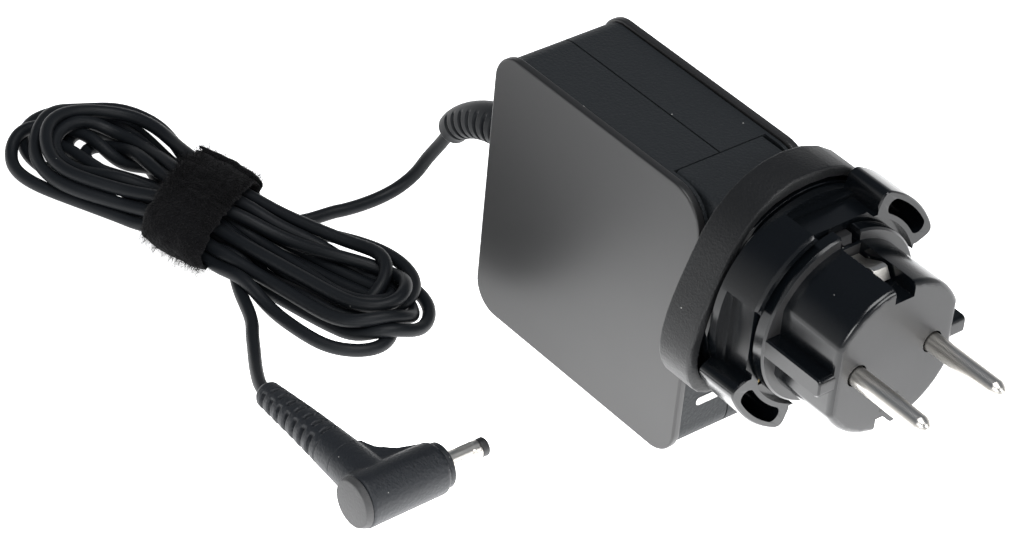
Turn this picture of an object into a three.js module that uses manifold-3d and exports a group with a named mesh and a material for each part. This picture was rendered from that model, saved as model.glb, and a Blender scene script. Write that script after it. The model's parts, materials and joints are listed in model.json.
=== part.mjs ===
// A laptop power adapter: a flat square block with a wide plug collar on one end, a clip-on converter
// with two round pins pushed over that plug, and a thin output cord that is gathered into a tied hank
// and ends in a right-angle barrel connector.
//
// Millimetres. +X runs along the block towards the round pins, +Y runs through its thickness, +Z is up.
// Everything is first placed with x = 0 on the cord end of the block, y = 0 on its centre seam and
// z = 0 on the table; the last lines shift it so that the origin is under the middle of the adapter.
import * as THREE from "three";
import { mergeVertices } from "three/addons/utils/BufferGeometryUtils.js";
import Module from "manifold-3d";

const wasm = await Module();
wasm.setup();

// ---------------------------------------------------------------- driving dimensions
const GAP = 0.3; // clearance between neighbouring pieces

const BODY_LENGTH = 62;
const BODY_HEIGHT = 62;
const BODY_THICKNESS = 29;
const CORNER_RADIUS = 6.5; // three corners of the block's outline
const PLUG_CORNER_RADIUS = 8.5; // the top corner beside the plug
const COVER_THICKNESS = 1.9;
const COVER_EDGE = 0.45; // rounding of a cover's outer edge
const SHELL_INSET = 0.6; // the shells stand this far inside the covers' outline
const WALL = 1.6; // moulded wall of the shells and of the plug block

const BLOCK_START = 50.3; // the cross seam on the top face
const BLOCK_HALF_WIDTH = 11.2;
const BLOCK_BOTTOM = 18;
const COLLAR_BACK = 66;
const COLLAR_FRONT = 74.5;
const COLLAR_FLOOR = 68.5; // bottom of the collar's front recess
const COLLAR_RIM = 2.4;
const PLUG_AXIS_Z = 46; // height of the converter's axis

const BLADE_SPACING = 22.2; // line to neutral, and the earth blade above them
const BLADE_DROP = 9; // line and neutral blades below the axis
const BLADE_TIP = 86;
const BLADE_WIDTH = 6.3;
const BLADE_THICKNESS = 3.9;
const EARTH_BLADE_HEIGHT = 7.9;

const RING_BACK = 74.8;
const RING_FRONT = 85;
const RING_RADIUS = 22;
const RING_LIP_RADIUS = 20.3; // the shallow counterbore at the front of the ring
const RING_LIP_DEPTH = 1.7;
const LUG_RADIUS = 25.8;
const LUG_HALF_ANGLE = 24; // degrees
const SLOT_INNER_RADIUS = 21.3;
const SLOT_OUTER_RADIUS = 24.6;
const SLOT_HALF_ANGLE = 13; // degrees, to the centres of the slot's round ends
const SLOT_END_WALL = 1.8; // the slots are blind
const POCKET_WIDTH = 16;
const POCKET_FLOOR = 19.1; // distance of a pocket's flat floor from the axis
const POCKET_STEP = 20; // the raised strip at the back of each pocket
const POCKET_BACK = 77;

const FLANGE_RADIUS = 18.9;
const FLANGE_FRONT = 86.6;
const HEAD_FRONT = 102;
const HEAD_RADIUS = 16.7;
const HEAD_HALF_WIDTH = 15; // flats on both sides of the round head
const HEAD_EDGE = 1.3; // rounding of the head's front edge
const RIB_REACH = 18.5; // outer faces of the two guide ribs, from the axis
const RIB_HEIGHT = 4;
const EARTH_GROOVE_WIDTH = 4.8;
const EARTH_GROOVE_FLOOR = 13.4;
const EARTH_GROOVE_SILL = 16.2; // the groove is shallower over the blades
const CLIP_START = 87.5;
const CLIP_PEAK = 94;
const CLIP_END = 96.2;
const CLIP_RISE = 2.5;
const CLIP_HALF_WIDTH = 1.8;

const PIN_DIAMETER = 4;
const PIN_LENGTH = 19;
const PIN_SPACING = 19;
const PIN_ROOT = 90; // where a pin's shank starts inside the head
const PIN_BORE = 4.7;

const LUG_ANGLES = [45, 225]; // degrees from +Y, about the converter's axis
const POCKET_ANGLES = [0, 90, 180, 270];
const CONTACT_WALL = 0.6; // sheet brass of the live contacts
const CONTACT_MARGIN = GAP + CONTACT_WALL + GAP;
const SCREW_TIP = 93;
const SCREW_PLACES = [
  [-13, PLUG_AXIS_Z + 6.5],
  [13, PLUG_AXIS_Z + 6.5],
];

const BOARD_FACE = -5; // the component side of the board, facing +Y
const BOARD_THICKNESS = 1.6;
const PART_CLEARANCE = 0.4; // from the board to the underside of a component
const PART_FLOOR = BOARD_FACE + PART_CLEARANCE;
const WIRE_RADIUS = 0.9;

const CORD_DIAMETER = 2.8;
const CORD_EXIT_Z = 31.5;
const RELIEF_NECK_RADIUS = 5.2; // the plain neck of the strain relief, in the block's wall
const RELIEF_END_RADIUS = 2.4;

const HANK_CENTRE = new THREE.Vector3(-48.3, -46.2, 0);
const HANK_TURN = 13; // degrees, from +X towards +Y
const HANK_LENGTH = 110;
const HANK_END_RADIUS = 16;
const HANK_WAIST = 9.8; // half width where the strap holds it
const HANK_BOTTOM = 1.7;
const HANK_TOP = 10.5;
const TIE_WIDTH = 16.5;
const TIE_THICKNESS = 1.3;
const TIE_HALF = 11.7; // half of the strap's opening across the hank
const TIE_PLACE = [-1.3, -1]; // the strap's middle, along and across the hank
const TIE_SLANT = -0.3; // the strap is wound askew: this much along the hank for each mm across it
const TIE_CORNER = 2.8;

const CONNECTOR_X = 43.5;
const CONNECTOR_Z = 5.7;
const CONNECTOR_BACK = -78.4; // outer face of the end cap
const CONNECTOR_FRONT = -57.8;
const CONNECTOR_RADIUS = 5.6;
const CONNECTOR_ARM_Y = -71.6;
const CAP_SEAT = 1.4; // from the cap's outer face to the body's end
const NOSE_FRONT = -56.1;
const NOSE_RADIUS = 3.5;
const BARREL_FRONT = -46.2;
const BARREL_RADIUS = 2;
const BARREL_WALL = 0.35;
const BARREL_TIP = 1.6; // length of the insulating tip
const BORE_RADIUS = 1.1;

const TOTAL_LENGTH = HEAD_FRONT + PIN_LENGTH;

// ---------------------------------------------------------------- materials
const paint = (color, roughness, metalness = 0) =>
  new THREE.MeshStandardMaterial({ color, roughness, metalness });

const MATERIALS = {
  cover: paint(0x3c3c3f, 0.38),
  shell: paint(0x262a2f, 0.72),
  collar: paint(0x1e2023, 0.62),
  gloss: paint(0x101215, 0.18),
  cord: paint(0x15181b, 0.5),
  strap: paint(0x101112, 0.95),
  nickel: paint(0xb9b6ae, 0.2, 1),
  brass: paint(0xb08d45, 0.35, 1),
  board: paint(0x1f4a2c, 0.6),
  ferrite: paint(0x2b2a2a, 0.7),
  copper: paint(0x9a5a2c, 0.35, 1),
  tape: paint(0xc9a23a, 0.5),
  sleeve: paint(0x1a2740, 0.35),
  resin: paint(0x17181a, 0.45),
  ceramic: paint(0x7f6a2f, 0.5),
  steel: paint(0x9a9c9e, 0.35, 1),
};

const adapter = new THREE.Group();

function addPart(name, geometry, material) {
  const mesh = new THREE.Mesh(geometry, MATERIALS[material]);
  mesh.name = name;
  adapter.add(mesh);
  return mesh;
}

// ---------------------------------------------------------------- joining and cutting
function toSolid(geometry) {
  const plain = geometry.index ? geometry.toNonIndexed() : geometry.clone();
  plain.deleteAttribute("normal");
  plain.deleteAttribute("uv");
  const merged = mergeVertices(plain, 1e-4);
  return new wasm.Manifold(
    new wasm.Mesh({
      numProp: 3,
      vertProperties: new Float32Array(merged.attributes.position.array),
      triVerts: new Uint32Array(merged.index.array),
    }),
  );
}

function toGeometry(solid) {
  const mesh = solid.getMesh();
  const geometry = new THREE.BufferGeometry();
  geometry.setAttribute("position", new THREE.BufferAttribute(mesh.vertProperties, 3));
  geometry.setIndex(new THREE.BufferAttribute(mesh.triVerts, 1));
  return geometry;
}

function join(...geometries) {
  return toGeometry(geometries.map(toSolid).reduce((whole, piece) => whole.add(piece)));
}

function cut(geometry, ...tools) {
  return toGeometry(tools.map(toSolid).reduce((whole, tool) => whole.subtract(tool), toSolid(geometry)));
}

// ---------------------------------------------------------------- basic shapes
const degrees = (angle) => (angle * Math.PI) / 180;

// A box given by its lowest and highest corners.
function boxBetween(low, high) {
  const size = high.map((value, axis) => value - low[axis]);
  const geometry = new THREE.BoxGeometry(...size);
  geometry.translate(...high.map((value, axis) => (value + low[axis]) / 2));
  return geometry;
}

// A flat outline drawn in (y, z) and extruded along +X from x0 to x1, with rounded rims if edge > 0.
function extrudeAlongX(shape, x0, x1, { edge = 0, edgeSteps = 2, curveSegments = 10 } = {}) {
  const geometry = new THREE.ExtrudeGeometry(shape, {
    depth: x1 - x0 - 2 * edge,
    bevelEnabled: edge > 0,
    bevelThickness: edge,
    bevelSize: edge,
    bevelOffset: -edge,
    bevelSegments: edgeSteps,
    curveSegments,
  });
  const basis = new THREE.Matrix4().makeBasis(
    new THREE.Vector3(0, 1, 0),
    new THREE.Vector3(0, 0, 1),
    new THREE.Vector3(1, 0, 0),
  );
  geometry.applyMatrix4(basis);
  geometry.translate(x0 + edge, 0, 0);
  return geometry;
}

// A flat outline drawn in (x, z) and extruded along Y from y0 to y1.
function extrudeAlongY(shape, y0, y1, { edge = 0, edgeSteps = 2, curveSegments = 8 } = {}) {
  const geometry = new THREE.ExtrudeGeometry(shape, {
    depth: y1 - y0 - 2 * edge,
    bevelEnabled: edge > 0,
    bevelThickness: edge,
    bevelSize: edge,
    bevelOffset: -edge,
    bevelSegments: edgeSteps,
    curveSegments,
  });
  geometry.rotateX(Math.PI / 2);
  geometry.translate(0, y1 - edge, 0);
  return geometry;
}

// A round bar along +X; its profile is a list of [x, radius] pairs and may start or end on the axis.
function turnedAlongX(profile, y, z, segments = 24) {
  const points = profile.map(([x, radius]) => new THREE.Vector2(radius, x));
  const geometry = new THREE.LatheGeometry(points, segments);
  const basis = new THREE.Matrix4().makeBasis(
    new THREE.Vector3(0, 1, 0),
    new THREE.Vector3(1, 0, 0),
    new THREE.Vector3(0, 0, -1),
  );
  geometry.applyMatrix4(basis);
  geometry.translate(0, y, z);
  return geometry;
}

function cylinderAlongX(x0, x1, radius, y, z, segments = 24) {
  return turnedAlongX([[x0, 0], [x0, radius], [x1, radius], [x1, 0]], y, z, segments);
}

// A rectangle with its own radius at each corner: lower left, lower right, upper right, upper left.
function roundedRectangle(x0, z0, x1, z1, [r1, r2, r3, r4]) {
  const shape = new THREE.Shape();
  shape.moveTo(x0 + r1, z0);
  shape.lineTo(x1 - r2, z0);
  shape.absarc(x1 - r2, z0 + r2, r2, -Math.PI / 2, 0);
  shape.lineTo(x1, z1 - r3);
  shape.absarc(x1 - r3, z1 - r3, r3, 0, Math.PI / 2);
  shape.lineTo(x0 + r4, z1);
  shape.absarc(x0 + r4, z1 - r4, r4, Math.PI / 2, Math.PI);
  shape.lineTo(x0, z0 + r1);
  shape.absarc(x0 + r1, z0 + r1, r1, Math.PI, 1.5 * Math.PI);
  return shape;
}

function circle(y, z, radius) {
  const shape = new THREE.Shape();
  shape.absarc(y, z, radius, 0, 2 * Math.PI);
  return shape;
}

// The block's outline, drawn `inset` inside the covers' edge.
function bodyOutline(inset) {
  const small = Math.max(CORNER_RADIUS - inset, 0.5);
  const large = Math.max(PLUG_CORNER_RADIUS - inset, 0.5);
  const far = BODY_LENGTH - inset;
  const top = BODY_HEIGHT - inset;
  return roundedRectangle(inset, inset, far, top, [small, small, large, small]);
}

// ---------------------------------------------------------------- the block's housing
const SHELL_FACE = BODY_THICKNESS / 2 - COVER_THICKNESS - GAP; // outer side of each shell, from the seam
const SEAM_HALF = GAP / 2;
const SHELL_TOP = BODY_HEIGHT - SHELL_INSET;

function coverPlate(side) {
  const outer = BODY_THICKNESS / 2;
  const inner = outer - COVER_THICKNESS;
  const [low, high] = side < 0 ? [-outer, -inner] : [inner, outer];
  return extrudeAlongY(bodyOutline(0), low, high, { edge: COVER_EDGE, edgeSteps: 2, curveSegments: 6 });
}

// Half of the block's wall: a tray, open at the seam, with a notch for the plug block
// and half of the round hole that the cord's strain relief comes through.
function halfShell(side) {
  const [low, high] = side < 0 ? [-SHELL_FACE, -SEAM_HALF] : [SEAM_HALF, SHELL_FACE];
  const inside = side < 0 ? [low + WALL, high + 1] : [low - 1, high - WALL];
  const shell = extrudeAlongY(bodyOutline(SHELL_INSET), low, high, { curveSegments: 6 });
  const hollow = extrudeAlongY(bodyOutline(SHELL_INSET + WALL), ...inside, { curveSegments: 4 });
  const reach = BLOCK_HALF_WIDTH + GAP;
  const notch = boxBetween(
    [BLOCK_START - GAP, -reach, BLOCK_BOTTOM - GAP],
    [BODY_LENGTH + 1, reach, BODY_HEIGHT + 1],
  );
  const cordHole = cylinderAlongX(-1, WALL + 2, RELIEF_NECK_RADIUS + GAP, 0, CORD_EXIT_Z, 20);
  return cut(shell, hollow, notch, cordHole);
}

// The moulded block that carries the plug; its top lies flush with the shells.
function plugBlock() {
  const outline = roundedRectangle(
    -BLOCK_HALF_WIDTH, BLOCK_BOTTOM, BLOCK_HALF_WIDTH, SHELL_TOP, [1.2, 1.2, 1.2, 1.2],
  );
  const block = extrudeAlongX(outline, BLOCK_START, COLLAR_BACK - GAP, { curveSegments: 3 });
  const hollow = boxBetween(
    [BLOCK_START - 1, -BLOCK_HALF_WIDTH + WALL, BLOCK_BOTTOM + WALL],
    [COLLAR_BACK - 2.4, BLOCK_HALF_WIDTH - WALL, SHELL_TOP - WALL],
  );
  return cut(block, hollow);
}

// The collar's outline: flat below, widest a third of the way up, and narrowing to a round crown.
function collarOutline(inset) {
  const bottom = PLUG_AXIS_Z - 18.5 + inset;
  const widest = PLUG_AXIS_Z - 8.5;
  const crown = PLUG_AXIS_Z + 25.4 - inset;
  const halfWidth = 25.6 - inset;
  const footHalf = 17.5 - inset * 0.4;
  const shoulderY = 20.4 - inset * 0.85;
  const shoulderZ = PLUG_AXIS_Z + 9.5;
  const shape = new THREE.Shape();
  shape.moveTo(-footHalf, bottom);
  shape.lineTo(footHalf, bottom);
  shape.bezierCurveTo(footHalf + 5, bottom, halfWidth, bottom + 4.5, halfWidth, widest);
  shape.bezierCurveTo(halfWidth, widest + 6, shoulderY + 2.2, shoulderZ - 5, shoulderY, shoulderZ);
  shape.bezierCurveTo(shoulderY - 3.4, shoulderZ + 9.5, 10, crown, 0, crown);
  shape.bezierCurveTo(-10, crown, -shoulderY + 3.4, shoulderZ + 9.5, -shoulderY, shoulderZ);
  shape.bezierCurveTo(-shoulderY - 2.2, shoulderZ - 5, -halfWidth, widest + 6, -halfWidth, widest);
  shape.bezierCurveTo(-halfWidth, bottom + 4.5, -footHalf - 5, bottom, -footHalf, bottom);
  return shape;
}

const LIVE_BLADE = { z: PLUG_AXIS_Z - BLADE_DROP, width: BLADE_WIDTH, height: BLADE_THICKNESS };
const BLADES = {
  line_blade: { ...LIVE_BLADE, y: -BLADE_SPACING / 2 },
  neutral_blade: { ...LIVE_BLADE, y: BLADE_SPACING / 2 },
  earth_blade: {
    y: 0,
    z: PLUG_AXIS_Z - BLADE_DROP + BLADE_SPACING,
    width: BLADE_THICKNESS,
    height: EARTH_BLADE_HEIGHT,
  },
};

// A rectangular bar on a blade's place, grown by `margin` all round.
function bladeBar({ y, z, width, height }, x0, x1, margin = 0) {
  const w = width / 2 + margin;
  const h = height / 2 + margin;
  return boxBetween([x0, y - w, z - h], [x1, y + w, z + h]);
}

function bladeHoles(x0, x1, margin = GAP) {
  return Object.values(BLADES).map((blade) => bladeBar(blade, x0, x1, margin));
}

function plugCollar() {
  const collar = extrudeAlongX(collarOutline(0), COLLAR_BACK, COLLAR_FRONT, {
    edge: 0.6,
    edgeSteps: 2,
    curveSegments: 6,
  });
  const mouth = collarOutline(COLLAR_RIM);
  const recess = extrudeAlongX(mouth, COLLAR_FLOOR, COLLAR_FRONT + 1, { curveSegments: 6 });
  return cut(collar, recess, ...bladeHoles(COLLAR_BACK - 1, COLLAR_FRONT));
}

// A blade from the plug block to its tip, where its four sides are chamfered.
function blade({ y, z, width, height }) {
  const chamfer = 1;
  const back = COLLAR_BACK + 0.2;
  const geometry = new THREE.BoxGeometry(2, width, height, 2, 1, 1);
  const place = geometry.attributes.position;
  for (let index = 0; index < place.count; index += 1) {
    const station = Math.round(place.getX(index)) + 1; // 0 at the back, 1 at the chamfer, 2 at the tip
    const shrink = station === 2 ? chamfer : 0;
    place.setX(index, [back, BLADE_TIP - 1.2 * chamfer, BLADE_TIP][station]);
    place.setY(index, y + Math.sign(place.getY(index)) * (width / 2 - shrink));
    place.setZ(index, z + Math.sign(place.getZ(index)) * (height / 2 - shrink));
  }
  return geometry;
}

function addHousing() {
  addPart("front_cover", coverPlate(-1), "cover");
  addPart("back_cover", coverPlate(1), "cover");
  addPart("front_shell", halfShell(-1), "shell");
  addPart("back_shell", halfShell(1), "shell");
  addPart("plug_block", plugBlock(), "shell");
  addPart("plug_collar", plugCollar(), "collar");
  for (const [name, place] of Object.entries(BLADES)) {
    addPart(name, blade(place), name === "earth_blade" ? "resin" : "brass");
  }
}

// ---------------------------------------------------------------- the clip-on converter
// A lug's fan-shaped outline about the converter's axis, rounded at its two outer corners.
function lugOutline(centreAngle) {
  const start = degrees(centreAngle - LUG_HALF_ANGLE);
  const end = degrees(centreAngle + LUG_HALF_ANGLE);
  const corner = degrees(4.5);
  const root = 18;
  const at = (radius, angle) => [radius * Math.cos(angle), PLUG_AXIS_Z + radius * Math.sin(angle)];
  const shape = new THREE.Shape();
  shape.moveTo(...at(root, start));
  shape.lineTo(...at(LUG_RADIUS - 2.2, start));
  shape.quadraticCurveTo(...at(LUG_RADIUS, start), ...at(LUG_RADIUS, start + corner));
  shape.absarc(0, PLUG_AXIS_Z, LUG_RADIUS, start + corner, end - corner);
  shape.quadraticCurveTo(...at(LUG_RADIUS, end), ...at(LUG_RADIUS - 2.2, end));
  shape.lineTo(...at(root, end));
  return shape;
}

// The kidney-shaped slot through a lug: two arcs about the axis joined by round ends.
function kidneyOutline(centreAngle) {
  const start = degrees(centreAngle - SLOT_HALF_ANGLE);
  const end = degrees(centreAngle + SLOT_HALF_ANGLE);
  const middle = (SLOT_INNER_RADIUS + SLOT_OUTER_RADIUS) / 2;
  const endRadius = (SLOT_OUTER_RADIUS - SLOT_INNER_RADIUS) / 2;
  const at = (radius, angle) => [radius * Math.cos(angle), PLUG_AXIS_Z + radius * Math.sin(angle)];
  const shape = new THREE.Shape();
  shape.absarc(0, PLUG_AXIS_Z, SLOT_OUTER_RADIUS, start, end, false);
  shape.absarc(...at(middle, end), endRadius, end, end + Math.PI, false);
  shape.absarc(0, PLUG_AXIS_Z, SLOT_INNER_RADIUS, end, start, true);
  shape.absarc(...at(middle, start), endRadius, start + Math.PI, start + 2 * Math.PI, false);
  return shape;
}

// The cutting tool of one outer pocket, turned about the axis to face `angle` degrees from +Y.
function pocketTool(angle) {
  const half = POCKET_WIDTH / 2;
  const beyond = RING_RADIUS + 2;
  const deep = boxBetween([POCKET_BACK + 1.2, POCKET_FLOOR, -half], [RING_FRONT + 1, beyond, half]);
  const step = boxBetween([POCKET_BACK, POCKET_STEP, -half], [POCKET_BACK + 2, beyond, half]);
  const tool = join(deep, step);
  tool.rotateX(degrees(angle));
  tool.translate(0, 0, PLUG_AXIS_Z);
  return tool;
}

function converterRing() {
  const disc = extrudeAlongX(circle(0, PLUG_AXIS_Z, RING_RADIUS), RING_BACK, RING_FRONT, {
    edge: 0.5,
    edgeSteps: 1,
    curveSegments: 44,
  });
  const rim = { edge: 0.3, edgeSteps: 1, curveSegments: 8 };
  const lugs = LUG_ANGLES.map((angle) =>
    extrudeAlongX(lugOutline(angle), RING_BACK + 0.6, RING_FRONT, rim),
  );
  const slots = LUG_ANGLES.map((angle) =>
    extrudeAlongX(kidneyOutline(angle), RING_BACK + SLOT_END_WALL, RING_FRONT + 1, { curveSegments: 6 }),
  );
  const pockets = POCKET_ANGLES.map(pocketTool);
  const lipCircle = circle(0, PLUG_AXIS_Z, RING_LIP_RADIUS);
  const lipBack = RING_FRONT - RING_LIP_DEPTH;
  const lip = extrudeAlongX(lipCircle, lipBack, RING_FRONT + 1, { curveSegments: 40 });
  const live = [BLADES.line_blade, BLADES.neutral_blade];
  const chambers = live.map((place) => bladeBar(place, RING_BACK - 1, RING_FRONT, CONTACT_MARGIN));
  const earthWay = bladeBar(BLADES.earth_blade, RING_BACK - 1, RING_FRONT, GAP);
  const screwWays = SCREW_PLACES.map(([y, z]) => cylinderAlongX(RING_BACK - 1, RING_FRONT, 1.8, y, z, 12));
  return cut(join(disc, ...lugs), ...slots, ...pockets, lip, ...chambers, earthWay, ...screwWays);
}

// The foot of the converter, which fills the collar's recess.
function converterBase() {
  const foot = extrudeAlongX(collarOutline(COLLAR_RIM + 0.7), COLLAR_FLOOR + 0.6, RING_BACK - GAP, {
    edge: 0.4,
    edgeSteps: 1,
    curveSegments: 5,
  });
  const round = extrudeAlongX(circle(0, PLUG_AXIS_Z, RING_RADIUS), COLLAR_FLOOR, RING_BACK, { curveSegments: 44 });
  const within = toGeometry(toSolid(foot).intersect(toSolid(round)));
  return cut(within, ...bladeHoles(COLLAR_FLOOR, RING_BACK));
}

// The head's outline: a circle with a flat on each side.
function headOutline(radius, halfWidth) {
  const angle = Math.acos(halfWidth / radius);
  const shape = new THREE.Shape();
  shape.absarc(0, PLUG_AXIS_Z, radius, angle, Math.PI - angle);
  shape.absarc(0, PLUG_AXIS_Z, radius, Math.PI + angle, 2 * Math.PI - angle);
  return shape;
}

// A guide rib on one side of the head, rounded at its front end.
function guideRib(side) {
  const shape = roundedRectangle(
    FLANGE_FRONT - 2.5, PLUG_AXIS_Z - RIB_HEIGHT / 2, HEAD_FRONT - 0.4, PLUG_AXIS_Z + RIB_HEIGHT / 2,
    [0.6, 1.1, 1.1, 0.6],
  );
  const [low, high] = side < 0 ? [-RIB_REACH, -HEAD_HALF_WIDTH + 1] : [HEAD_HALF_WIDTH - 1, RIB_REACH];
  return extrudeAlongY(shape, low, high, { edge: 0.35, edgeSteps: 1, curveSegments: 4 });
}

function converterHead() {
  const flange = extrudeAlongX(
    circle(0, PLUG_AXIS_Z, FLANGE_RADIUS), RING_FRONT - RING_LIP_DEPTH + GAP, FLANGE_FRONT,
    { edge: 0.4, edgeSteps: 1, curveSegments: 36 },
  );
  const head = extrudeAlongX(headOutline(HEAD_RADIUS, HEAD_HALF_WIDTH), FLANGE_FRONT - 2, HEAD_FRONT, {
    edge: HEAD_EDGE,
    edgeSteps: 3,
    curveSegments: 14,
  });
  const grooveHalf = EARTH_GROOVE_WIDTH / 2;
  const groove = (side, start, floor) => {
    const z = [PLUG_AXIS_Z + side * floor, PLUG_AXIS_Z + side * (FLANGE_RADIUS + 1)];
    return boxBetween([start, -grooveHalf, Math.min(...z)], [HEAD_FRONT + 1, grooveHalf, Math.max(...z)]);
  };
  const grooves = [1, -1].flatMap((side) => [
    groove(side, FLANGE_FRONT + 0.4, EARTH_GROOVE_FLOOR),
    groove(side, RING_FRONT - RING_LIP_DEPTH, EARTH_GROOVE_SILL),
  ]);
  const pinBores = [-1, 1].map((side) =>
    cylinderAlongX(PIN_ROOT - 0.4, HEAD_FRONT + 1, PIN_BORE / 2, (side * PIN_SPACING) / 2, PLUG_AXIS_Z, 16),
  );
  const screwWays = SCREW_PLACES.map(([y, z]) =>
    cylinderAlongX(RING_FRONT - 4, SCREW_TIP + 0.5, 1.6, y, z, 12),
  );
  return cut(
    join(flange, head, guideRib(-1), guideRib(1)),
    ...grooves,
    ...pinBores,
    ...bladeHoles(RING_BACK, BLADE_TIP + 0.3),
    ...screwWays,
  );
}

// A sprung brass sleeve that grips one live blade.
function bladeContact(place) {
  const sleeve = bladeBar(place, RING_BACK + 0.6, RING_FRONT - RING_LIP_DEPTH - 0.4, GAP + CONTACT_WALL);
  return cut(sleeve, bladeBar(place, RING_BACK, RING_FRONT, GAP));
}

function roundPin(y) {
  const radius = PIN_DIAMETER / 2;
  const tip = HEAD_FRONT + PIN_LENGTH;
  const profile = [
    [PIN_ROOT, 0],
    [PIN_ROOT, radius],
    [tip - 1.6, radius],
    [tip - 0.7, radius * 0.82],
    [tip - 0.15, radius * 0.5],
    [tip, radius * 0.3],
    [tip, 0],
  ];
  return turnedAlongX(profile, y, PLUG_AXIS_Z, 16);
}

// A spring strip that ramps up out of an earth groove and bends down again; side is +1 above the axis,
// -1 below.
function earthClip(side) {
  const floor = EARTH_GROOVE_FLOOR + GAP;
  const thickness = 0.7;
  const shape = new THREE.Shape();
  shape.moveTo(CLIP_START, floor);
  shape.lineTo(CLIP_START + 2, floor);
  shape.lineTo(CLIP_PEAK, floor + CLIP_RISE - thickness);
  shape.lineTo(CLIP_END - 0.4, floor);
  shape.lineTo(CLIP_END, floor + thickness * 0.5);
  shape.lineTo(CLIP_PEAK + 0.9, floor + CLIP_RISE - 0.1);
  shape.lineTo(CLIP_PEAK + 0.3, floor + CLIP_RISE + 0.1);
  shape.lineTo(CLIP_PEAK - 0.6, floor + CLIP_RISE);
  shape.lineTo(CLIP_START + 1.8, floor + thickness);
  shape.lineTo(CLIP_START, floor + thickness);
  const strip = extrudeAlongY(shape, -CLIP_HALF_WIDTH, CLIP_HALF_WIDTH);
  strip.rotateX(side > 0 ? 0 : Math.PI);
  strip.translate(0, 0, PLUG_AXIS_Z);
  return strip;
}

function converterScrew([y, z]) {
  const back = RING_BACK + 0.4;
  const profile = [[back, 0], [back, 1.4], [SCREW_TIP - 1, 1.3], [SCREW_TIP, 0.4], [SCREW_TIP, 0]];
  return turnedAlongX(profile, y, z, 10);
}

function addConverter() {
  addPart("converter_ring", converterRing(), "gloss");
  addPart("converter_base", converterBase(), "gloss");
  addPart("converter_head", converterHead(), "gloss");
  addPart("line_contact", bladeContact(BLADES.line_blade), "brass");
  addPart("neutral_contact", bladeContact(BLADES.neutral_blade), "brass");
  addPart("round_pin_near", roundPin(-PIN_SPACING / 2), "nickel");
  addPart("round_pin_far", roundPin(PIN_SPACING / 2), "nickel");
  addPart("earth_clip_top", earthClip(1), "nickel");
  addPart("earth_clip_bottom", earthClip(-1), "nickel");
  SCREW_PLACES.forEach((place, index) => {
    addPart(`converter_screw_${index + 1}`, converterScrew(place), "steel");
  });
}

// ---------------------------------------------------------------- electronics inside the block
// A round can or rod that lies along Z in front of the board.
function canAlongZ(radius, x, y, z0, z1, rim = 0.5) {
  const inner = radius - rim;
  const profile = [[0, z0], [inner, z0], [radius, z0 + rim], [radius, z1 - rim], [inner, z1], [0, z1]];
  const geometry = new THREE.LatheGeometry(profile.map(([r, h]) => new THREE.Vector2(r, h)), 14);
  geometry.rotateX(Math.PI / 2);
  geometry.translate(x, y, 0);
  return geometry;
}

function transformerCore(x, z) {
  const half = 11;
  const window = 7.6;
  const frame = boxBetween([x - half, PART_FLOOR, z - half], [x + half, PART_FLOOR + 11, z + half]);
  const opening = boxBetween(
    [x - window, PART_FLOOR - 1, z - window],
    [x + window, PART_FLOOR + 12, z + window],
  );
  return cut(frame, opening);
}

function transformerWinding(x, z) {
  const radius = 7.2;
  const points = [[0, 0], [radius, 0], [radius, 1], [radius - 0.7, 1.2], [radius - 0.7, 9.4], [radius, 9.6]];
  points.push([radius, 10.6], [0, 10.6]);
  const geometry = new THREE.LatheGeometry(points.map(([r, h]) => new THREE.Vector2(r, h)), 16);
  geometry.translate(x, PART_FLOOR + 0.2, z);
  return geometry;
}

function chokeRing(x, z) {
  const geometry = new THREE.TorusGeometry(4.6, 2.2, 8, 14);
  geometry.rotateX(Math.PI / 2);
  geometry.translate(x, PART_FLOOR + 2.4, z);
  return geometry;
}

function fuseBody(x, z) {
  const geometry = new THREE.CylinderGeometry(2.1, 2.1, 7.5, 10);
  geometry.translate(x, PART_FLOOR + 3.8, z);
  return geometry;
}

function discCapacitor(x, z) {
  const geometry = new THREE.CylinderGeometry(3.4, 3.4, 2.4, 14);
  geometry.rotateZ(Math.PI / 2);
  geometry.translate(x, PART_FLOOR + 3.6, z);
  return geometry;
}

function drumInductor(x, z) {
  const profile = [[0, 0], [4.6, 0], [4.6, 1.2], [3.4, 1.6], [3.4, 6.4], [4.6, 6.8], [4.6, 8], [0, 8]];
  const geometry = new THREE.LatheGeometry(profile.map(([r, h]) => new THREE.Vector2(r, h)), 14);
  geometry.translate(x, PART_FLOOR, z);
  return geometry;
}

// A wire or cord: a round tube through hand-chosen points.
function tube(points, radius, steps, sides = 8) {
  const section = new THREE.Shape();
  section.absarc(0, 0, radius, 0, 2 * Math.PI);
  const curve = new THREE.CatmullRomCurve3(points.map((point) => new THREE.Vector3(...point)));
  return new THREE.ExtrudeGeometry(section, { steps, extrudePath: curve, curveSegments: sides / 2 });
}

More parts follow.
